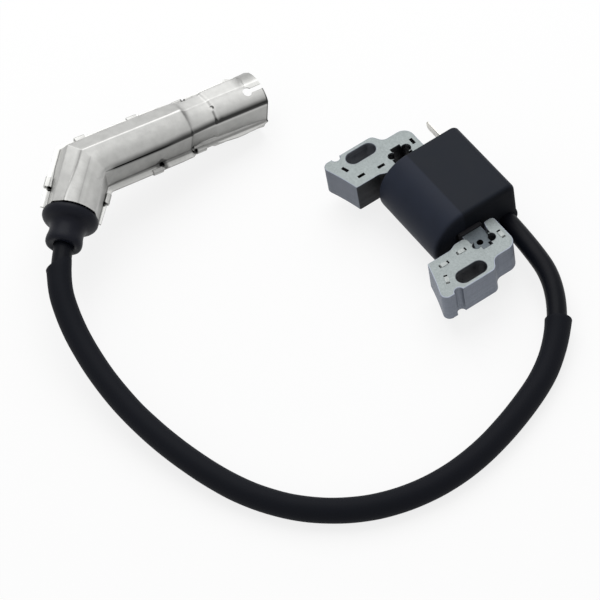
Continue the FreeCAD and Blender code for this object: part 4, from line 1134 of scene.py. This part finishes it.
def notch_tool(tube, place, side, end):
    """Tool for the gap at a tab's end, where the flange leaves the wall."""
    root, edge = flange_at(tube, place, side)
    near, far, past, bottom, top = 2.1, 3.0, 0.5, -0.2, 1.1
    low, high = sorted((place + end * near, place + end * far))
    inner, outer = sorted((side * (root - past), side * (edge + past)))
    return on_tube(box_tool((low, inner, bottom), (high, outer, top)), tube)


def bent_station(place, bend):
    """Middle of the rounded, bent line and the direction across it, at a place from the elbow."""
    end = bend * math.tan(BEND / 2)
    on_arc = min(max(place, -end), end)
    turn = BEND * (on_arc / end + 1) / 2
    along = Vector((math.cos(turn), -math.sin(turn), 0))
    across = Vector((math.sin(turn), math.cos(turn), 0))
    return Vector((-end, -bend, 0)) + across * bend + along * (place - on_arc), across


def rubber_mesh(material):
    """Boot rubber: dome flange and waisted neck outside, the shield's shape within it, and its bores."""
    bend = 12.0
    end = bend * math.tan(BEND / 2)
    outside = [(-32.1, 4.0), (-32.35, 4.5), (-32.4, 5.2), (-32.3, 5.8), (-32.0, 6.25), (-31.4, 6.55),
               (-30.6, 6.65), (-29.6, 6.6), (-28.6, 6.4), (-27.4, 6.25), (-26.2, 6.25), (-25.2, 6.4),
               (-24.4, 6.75), (-23.9, 7.3), (-23.55, 8.0), (-23.2, 8.7), (-22.7, 9.35), (-22.1, 9.85),
               (-21.4, 10.15), (-20.6, 10.2), (-19.9, 10.05), (-19.4, 9.3), (-18.6, 8.9), (-12.0, 8.5)]
    outside += [(end * (i / 4 - 1), 8.4) for i in range(9)]
    outside += [(20.0, 8.2), (36.0, 7.4), (40.0, 6.95), (48.6, 6.9), (49.05, 6.65)]
    bores = [(49.0, 6.3), (48.0, 5.3), (34.0, 5.3), (34.0, 4.5), (21.95, 4.5), (21.95, 2.4), (10.0, 2.4)]
    bores += [(end * (1 - i / 3), 2.4) for i in range(7)]
    bores += [(-10.0, 2.4), (-22.5, 2.4), (-22.5, 3.55), (-32.0, 3.55)]
    around = 72
    points = []
    for place, radius in outside + bores:
        centre, across = bent_station(place, bend)
        points += [centre + across * y + Vector((0, 0, z)) for z, y in circle((0, 0), radius, around)]
    faces = grid_faces(len(outside) + len(bores), around, 0, True, True)
    return mesh_from("boot rubber", points, faces, material)


# ---- case ----------------------------------------------------------------------------------------
def case_outline(inset, back_round):
    """Case's section as (y, z): half-round towards the flywheel and square behind."""
    low, high = box_mm("coil_housing")
    front, back, top = low[1] + inset, high[1] - inset, high[2] - inset
    large, foot = (high[2] - low[2]) / 2 - inset, 2.2 - inset / 2
    same = 0.001
    outline = []
    for y, z, radius, first, steps in ((front + large, inset + large, large, 270, 24),
                                       (front + large, top - large, large, 180, 24),
                                       (back - back_round, top - back_round, back_round, 90, 10),
                                       (back - foot, inset + foot, foot, 0, 6)):
        for step in range(steps + 1):
            turn = math.radians(first - 90 * step / steps)
            outline.append(Vector((y + radius * math.cos(turn), z + radius * math.sin(turn))))
    return [point for before, point in zip(outline[-1:] + outline[:-1], outline)
            if (point - before).length > same][::-1]


def along_x(name, rows, *materials):
    """Closed solid from (x, outline) rows, each outline a ring of (y, z)."""
    return ringed(name, [[(x, y, z) for y, z in outline] for x, outline in rows], *materials)


def housing_mesh(material):
    """Case with soft edges, open below, with its socket and its openings."""
    low, high = box_mm("coil_housing")
    start, stop, back_round = low[0] - 1.3, high[0], 3.2
    far_soft, near_soft, wall, play, bar_play, past = 1.0, 2.0, 1.6, 0.1, 1.2, 1.0
    outline = case_outline(0, back_round)
    turns = [math.pi / 2 * step / 6 for step in range(7)]
    rows = [(start + far_soft * (1 - math.cos(turn)), inset_loop(outline, far_soft * (1 - math.sin(turn))))
            for turn in turns]
    rows += [(low[0] + (high[0] - low[0]) * quarter / 4, outline) for quarter in (1, 2, 3)]
    rows += [(stop - near_soft * (1 - math.cos(turn)), inset_loop(outline, near_soft * (1 - math.sin(turn))))
             for turn in turns[::-1]]
    case = along_x("case", rows, material)

    x, y, z = [value / MM for value in LEAD_EXIT]
    boss, boss_run, boss_soft, bore_radius, steps = 5.1, 12.0, 1.0, 3.5, 48
    rows = [(x - boss_run, boss)]
    rows += [(x + boss_soft * (math.sin(turn) - 1), boss + boss_soft * (math.cos(turn) - 1))
             for turn in turns]
    socket = along_x("socket", [(place, circle((y, z), radius, steps)) for place, radius in rows])
    case = carved(case, [socket], "UNION")

    inside = case_outline(wall, back_round - wall / 2)
    cavity = along_x("cavity", [(low[0] + wall, inside), (stop - wall, inside)])
    mouth = box_tool((low[0] + wall, low[1] + (high[2] - low[2]) / 2, -past),
                     (stop - wall, high[1] - wall, 2 * wall))
    rim_low, rim_high = box_mm("primary_bobbin")
    collar = box_tool((start - past, rim_low[1] - play, rim_low[2] - play),
                      (low[0], rim_high[1] + play, rim_high[2] + play))
    bar_low, bar_high = box_mm("centre_bar")
    opening = box_tool((start - past, bar_low[1] - bar_play, bar_low[2] - bar_play),
                       (stop + past, bar_high[1] + bar_play, bar_high[2] + bar_play))
    bore_run = (x - boss_run - past, x + past)
    bore = along_x("bore", [(place, circle((y, z), bore_radius, steps)) for place in bore_run])
    blade_low, blade_high = box_mm("stop_terminal")
    slit = box_tool((start - past, blade_high[1] - BLADE_THICK - 0.02, blade_low[2]),
                    (low[0] + 2, blade_high[1] + 0.02, blade_high[2]))
    return carved(case, [cavity, mouth, opening, collar, bore, slit])


# ---- blade ---------------------------------------------------------------------------------------
def drawn_in(value, middle, depth):
    """Value moved towards a middle by a depth, and never past it."""
    return value - math.copysign(min(depth, abs(value - middle)), value - middle)


def blade_mesh(material):
    """Stop blade: rounded tip, rolled edges, a small locking dimple and its bent foot."""
    (tip, foot_front, bottom), (end, back, top) = box_mm("stop_terminal")
    front, half_run, half_height = back - BLADE_THICK, (tip + end) / 2, (bottom + top) / 2
    tip_round, edge_round = 1.6, 0.12
    outline = []
    for z, first in ((bottom + tip_round, 270), (top - tip_round, 180)):
        for turn in (math.radians(first - 9 * step) for step in range(11)):
            outline.append((tip + tip_round * (1 + math.cos(turn)), z + tip_round * math.sin(turn)))
    outline += [(end, top), (end, bottom)]
    layers = ((front, edge_round), (front + edge_round, 0), (back - edge_round, 0), (back, edge_round))
    rings = [[(drawn_in(x, half_run, depth), y, drawn_in(z, half_height, depth)) for x, z in outline]
             for y, depth in layers]
    dimple_from_tip, dimple_radius, dimple_depth = 9.6, 0.75, 0.25
    dimple = rod_tool((tip + dimple_from_tip, half_height), dimple_radius, -1, 1, 24)
    dimple.transform(Matrix.Rotation(math.pi / 2, 4, "X"))
    dimple.transform(Matrix.Translation((0, (back + 1 - dimple_depth) * MM, 0)))
    foot = box_tool((end - BLADE_THICK, foot_front, bottom + BLADE_THICK),
                    (end, front + 0.1, top - BLADE_THICK))
    return joined(carved(ringed("stop blade", rings, material), [dimple]), foot, FACE)


# ---- operators -----------------------------------------------------------------------------------
class COIL_OT_lead(bpy.types.Operator):
    """Make the lead with its core and its loose sleeve, the boot's pieces being made already"""

    bl_idname = "coil.lead"
    bl_label = "Lead and sleeve"

    def execute(self, context):
        settings = context.scene.coil.lead
        rubber = rubbery("lead rubber", settings.rubber, roughness=0.42, gloss=0.08)
        lead = route_curve("lead", settings.diameter / 2, rubber)
        strands = wound("lead strands", context.scene.coil.case.copper, pitch=0.3)
        core = route_curve("lead_core", 0.7 * MM, strands)
        path = Path(route_points())
        sleeve_material = rubbery("sleeve vinyl", settings.sleeve, roughness=0.62, gloss=0.08)
        sleeve = new_piece("sleeve", sleeve_mesh(path, settings, sleeve_material), "root",
                           "sleeve_rubber", "lead_sleeve")
        for piece, slot, node in ((lead, "lead_rubber", "lead_insulation"),
                                  (core, "copper", "lead_conductor")):
            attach(piece, "root")
            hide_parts(node)
        plug = [bpy.data.objects[name] for name in ("boot_rubber", "shield_crown_half", "shield_base_half")]
        plug += [frame["nodes"][name] for name in ("plug_terminal", "terminal_clip")]
        return {"FINISHED"}


class COIL_OT_legs(bpy.types.Operator):
    """Make the two laminated legs with their interlock dimples"""

    bl_idname = "coil.legs"
    bl_label = "Laminated legs"

    def execute(self, context):
        settings = context.scene.coil.core
        low, high = box_mm("near_leg")
        pitch = (high[2] - low[2]) / settings.laminations
        finishes = (lamination_face("leg face", settings.face),
                    lamination_edge("leg edge", settings.edge, pitch, low[2], settings.laminations),
                    moulded("pressed shadow", linear(22, 22, 25), 0.8),
                    lamination_face("worn pad", linear(160, 165, 164)))
        rim, groove = settings.rim / MM, settings.groove / MM
        pocket_half, pad_half, pit_half = 0.7, 0.76, 0.62
        near = stack_mesh("near_leg_stack", "near_leg", settings.laminations, rim, groove, 3, *finishes)
        near = carved(near, [darkened(dimple_solids(POCKET, pocket_half, False))])
        near = joined(near, dimple_solids(PAD, pad_half, False), RAISED)
        new_piece("near_leg_stack", near, "root", "leg_steel", "near_leg")
        far = stack_mesh("far_leg_stack", "far_leg", settings.laminations, rim, groove, 8, *finishes)
        far = carved(far, [darkened(dimple_solids(PIT, pit_half, True))])
        new_piece("far_leg_stack", far, "root", "leg_steel", "far_leg")
        return {"FINISHED"}


class COIL_OT_bar(bpy.types.Operator):
    """Make the laminated core bar with its keyed head and pin hole"""

    bl_idname = "coil.bar"
    bl_label = "Core bar"

    def execute(self, context):
        settings = context.scene.coil.core
        low, high = box_mm("centre_bar")
        pitch = (high[2] - low[2]) / BAR_SHEETS
        finishes = (lamination_face("bar face", settings.bar),
                    lamination_edge("bar edge", settings.edge, pitch, low[2], BAR_SHEETS),
                    moulded("hole shadow", linear(14, 14, 16), 0.8))
        rim, groove, hole_radius = 0.15, settings.groove / MM, 1.2
        mesh = stack_mesh("core_bar", "centre_bar", BAR_SHEETS, rim, groove, 5, *finishes)
        hole_middle = (SLOT[0] - 10.0, SLOT[1] + 10.5)
        hole = rod_tool(hole_middle, hole_radius, (low[2] + high[2]) / 2, high[2] + 1)
        new_piece("core_bar", carved(mesh, [darkened(hole)]), "root", "bar_steel", "centre_bar")
        return {"FINISHED"}


class COIL_OT_case(bpy.types.Operator):
    """Finish the case, its resin and the inner bobbin"""

    bl_idname = "coil.case"
    bl_label = "Case and resin"

    def execute(self, context):
        settings = context.scene.coil.case
        nylon = case_nylon("case nylon", settings.nylon, settings.front)
        new_piece("case", housing_mesh(nylon), "root", "case_plastic", "coil_housing", crisp=50.0)
        paint("potting_resin", moulded("cast resin", settings.resin, 0.16, 1.4, 0.02))
        paint("primary_bobbin", moulded("bobbin nylon", linear(44, 44, 47), 0.42))
        paint("secondary_bobbin", moulded("bobbin nylon ribs", linear(60, 58, 52), 0.4))
        return {"FINISHED"}


class COIL_OT_windings(bpy.types.Operator):
    """Finish the two windings as turns of enamelled wire"""

    bl_idname = "coil.windings"
    bl_label = "Windings"

    def execute(self, context):
        copper = context.scene.coil.case.copper
        paint("primary_winding", wound("primary wire", copper, pitch=0.6))
        paint("secondary_winding", wound("secondary wire", linear(150, 74, 40), pitch=0.12))
        return {"FINISHED"}


class COIL_OT_module(bpy.types.Operator):
    """Finish the switching module that the resin covers"""

    bl_idname = "coil.module"
    bl_label = "Module"

    def execute(self, context):
        paint("circuit_board", glass_board("glass board"))
        paint("switching_transistor", moulded("transistor epoxy", linear(38, 38, 40), 0.4))
        paint("control_chip", moulded("chip epoxy", linear(32, 32, 34), 0.45))
        paint("timing_capacitor", moulded("capacitor film", linear(150, 60, 34), 0.3))
        paint("resistors", banded("resistor lacquer", linear(176, 190, 204), linear(120, 60, 40)))
        paint("suppression_diode", banded("diode epoxy", linear(28, 28, 30), linear(190, 190, 192)))
        return {"FINISHED"}


class COIL_OT_terminals(bpy.types.Operator):
    """Make the stop blade and finish the strap and the output spike"""

    bl_idname = "coil.terminals"
    bl_label = "Terminals"

    def execute(self, context):
        tin = strip_metal("tinned strip", context.scene.coil.case.tin, 0.34)
        new_piece("stop_blade", blade_mesh(tin), "root", "tinned", "stop_terminal")
        paint("ground_strap", strip_metal("strap strip", linear(190, 188, 184), 0.36))
        paint("output_spike", strip_metal("spike brass", context.scene.coil.boot.brass, 0.3))
        return {"FINISHED"}


class COIL_OT_shield(bpy.types.Operator):
    """Make the two stamped halves of the shield with their tabs"""

    bl_idname = "coil.shield"
    bl_label = "Shield"

    def execute(self, context):
        plate = shield_finish("tinplate", context.scene.coil.boot.plate)
        crown = shell_mesh("shield crown half", True, plate)
        keyhole, keyhole_radius, slot_half, inside, above = UPPER_TUBE - 6.0, 1.75, 0.9, 5, 14
        drain, drain_radius, drain_floor = (STEP, -0.5), 0.8, 9.75
        tools = [on_tube(rod_tool((keyhole, 0.0), keyhole_radius, inside, above), "upper"),
                 on_tube(box_tool((keyhole, -slot_half, inside), (UPPER_TUBE + 1, slot_half, above)),
                         "upper"),
                 on_tube(rod_tool(drain, drain_radius, drain_floor, above, 28), "upper")]
        tools += [notch_tool(tube, place, side, end) for tube, place, side, end in TABS]
        crown = carved(crown, tools)
        new_piece("shield_crown_half", crown, "boot", "shield_plate", "shield_top", place=BOOT_FRAME)
        base = shell_mesh("shield base half", False, plate)
        for tube, place, side, _ in TABS:
            base = joined(base, tab_solid(tube, place, side), FACE)
        new_piece("shield_base_half", base, "boot", "shield_plate", "shield_bottom", place=BOOT_FRAME)
        return {"FINISHED"}


class COIL_OT_rubber(bpy.types.Operator):
    """Make the boot's rubber"""

    bl_idname = "coil.rubber"
    bl_label = "Boot rubber"

    def execute(self, context):
        material = rubbery("boot rubber", context.scene.coil.boot.rubber, roughness=0.45, gloss=0.13)
        new_piece("boot_rubber", rubber_mesh(material), "boot", "boot_rubber", "rubber_boot",
                  place=BOOT_FRAME)
        return {"FINISHED"}


class COIL_OT_contact(bpy.types.Operator):
    """Finish the plug's contact and its wire clip"""

    bl_idname = "coil.contact"
    bl_label = "Plug contact"

    def execute(self, context):
        paint("plug_terminal", strip_metal("contact brass", context.scene.coil.boot.brass, 0.28))
        paint("terminal_clip", strip_metal("clip wire", linear(200, 200, 198), 0.25))
        return {"FINISHED"}


class COIL_OT_stage(bpy.types.Operator):
    """Make the floor, the room's light, the lamps and the camera"""

    bl_idname = "coil.stage"
    bl_label = "Stage"

    def execute(self, context):
        settings = context.scene.coil.stage
        make_floor()
        make_room(settings.ambient)
        aim = Vector((0.24, -58.7, 10.0)) * MM
        softbox("main softbox", aim, azimuth=238, elevation=60, far=1.0, size=1.0, power=settings.lamp)
        make_camera(settings, aim)
        context.scene.view_settings.view_transform = "Standard"
        return {"FINISHED"}


# ---- studio --------------------------------------------------------------------------------------
def direction(azimuth, elevation):
    """Unit vector towards an azimuth from the front (-Y) towards +X, and an elevation."""
    flat = math.cos(elevation)
    return Vector((math.sin(azimuth) * flat, -math.cos(azimuth) * flat, math.sin(elevation)))


def make_floor():
    """Wide pale floor that stays white to the camera and keeps the coil's shadow."""
    reach, whiteness = 3.0, 0.8
    mesh = bpy.data.meshes.new("floor")
    mesh.from_pydata([(-reach, -reach, 0), (reach, -reach, 0), (reach, reach, 0), (-reach, reach, 0)],
                     [], [(0, 1, 2, 3)])
    material, finish = new_finish("floor")
    paper = finish.node("ShaderNodeBsdfDiffuse", None, {"Color": (1, 1, 1, 1)})
    white = finish.node("ShaderNodeEmission", None, {"Color": (1, 1, 1, 1), "Strength": 1.0})
    both = finish.node("ShaderNodeMixShader", None, {0: whiteness * finish.seen(), 1: paper, 2: white})
    finish.tree.links.new(both.socket, finish.output.inputs["Surface"])
    mesh.materials.append(material)
    floor = bpy.data.objects.new("floor", mesh)
    bpy.context.scene.collection.objects.link(floor)


def make_room(strength):
    """White room: plain light for the coil, pure white to the camera and in reflections."""
    world = bpy.data.worlds.new("room")
    bpy.context.scene.world = world
    world.use_nodes = True
    finish = Finish(world.node_tree, "ShaderNodeOutputWorld")
    light = finish.node("ShaderNodeBackground", None, {"Color": (1, 1, 1, 1), "Strength": strength})
    white = finish.node("ShaderNodeBackground", None, {"Color": (1, 1, 1, 1), "Strength": 1.0})
    both = finish.node("ShaderNodeMixShader", None, {0: finish.seen(), 1: light, 2: white})
    finish.tree.links.new(both.socket, finish.output.inputs["Surface"])


def softbox(name, aim, azimuth, elevation, far, size, power):
    """Square lamp that faces the aim."""
    data = bpy.data.lights.new(name, "AREA")
    data.shape = "RECTANGLE"
    data.size = data.size_y = size
    data.energy = power
    lamp = bpy.data.objects.new(name, data)
    towards = direction(math.radians(azimuth), math.radians(elevation))
    lamp.location = aim + towards * far
    lamp.rotation_euler = (-towards).to_track_quat("-Z", "Y").to_euler()
    bpy.context.scene.collection.objects.link(lamp)


def make_camera(settings, aim):
    """Long-lens camera, tilted a little."""
    data = bpy.data.cameras.new("camera")
    data.lens = settings.lens
    data.sensor_width = 36
    data.clip_end = 10
    camera = bpy.data.objects.new("camera", data)
    towards = direction(settings.azimuth, settings.elevation)
    turn = (-towards).to_track_quat("-Z", "Y").to_matrix() @ Matrix.Rotation(settings.roll, 3, "Z")
    camera.matrix_world = Matrix.Translation(aim + towards * settings.range) @ turn.to_4x4()
    bpy.context.scene.collection.objects.link(camera)
    bpy.context.scene.camera = camera


# ---- panel and start -----------------------------------------------------------------------------
STEPS = (COIL_OT_stage, COIL_OT_legs, COIL_OT_bar, COIL_OT_case, COIL_OT_windings, COIL_OT_module,
         COIL_OT_terminals, COIL_OT_shield, COIL_OT_rubber, COIL_OT_contact, COIL_OT_lead)


class COIL_PT_panel(bpy.types.Panel):
    """Buttons for the coil's pieces and their settings"""

    bl_label = "Ignition Coil"
    bl_idname = "COIL_PT_panel"
    bl_space_type = "VIEW_3D"
    bl_region_type = "UI"
    bl_category = "Ignition Coil"

    def draw(self, context):
        settings = context.scene.coil
        for title, group in (("Lead", settings.lead), ("Core", settings.core), ("Case", settings.case),
                             ("Boot", settings.boot), ("Stage", settings.stage)):
            box = self.layout.box()
            box.label(text=title)
            for key in group.__annotations__:
                box.prop(group, key)
        for step in STEPS:
            self.layout.operator(step.bl_idname)


CLASSES = (LeadSettings, CoreSettings, CaseSettings, BootSettings, StageSettings, CoilSettings,
           *STEPS, COIL_PT_panel)


def register():
    """Register the settings, operators and panel."""
    for item in CLASSES:
        bpy.utils.register_class(item)
    bpy.types.Scene.coil = PointerProperty(type=CoilSettings)


def unregister():
    """Undo register."""
    del bpy.types.Scene.coil
    for item in reversed(CLASSES):
        bpy.utils.unregister_class(item)


def main():
    """Make every piece in order."""
    register()
    for step in STEPS:
        family, name = step.bl_idname.split(".")
        getattr(getattr(bpy.ops, family), name)()


if __name__ == "__main__":
    main()
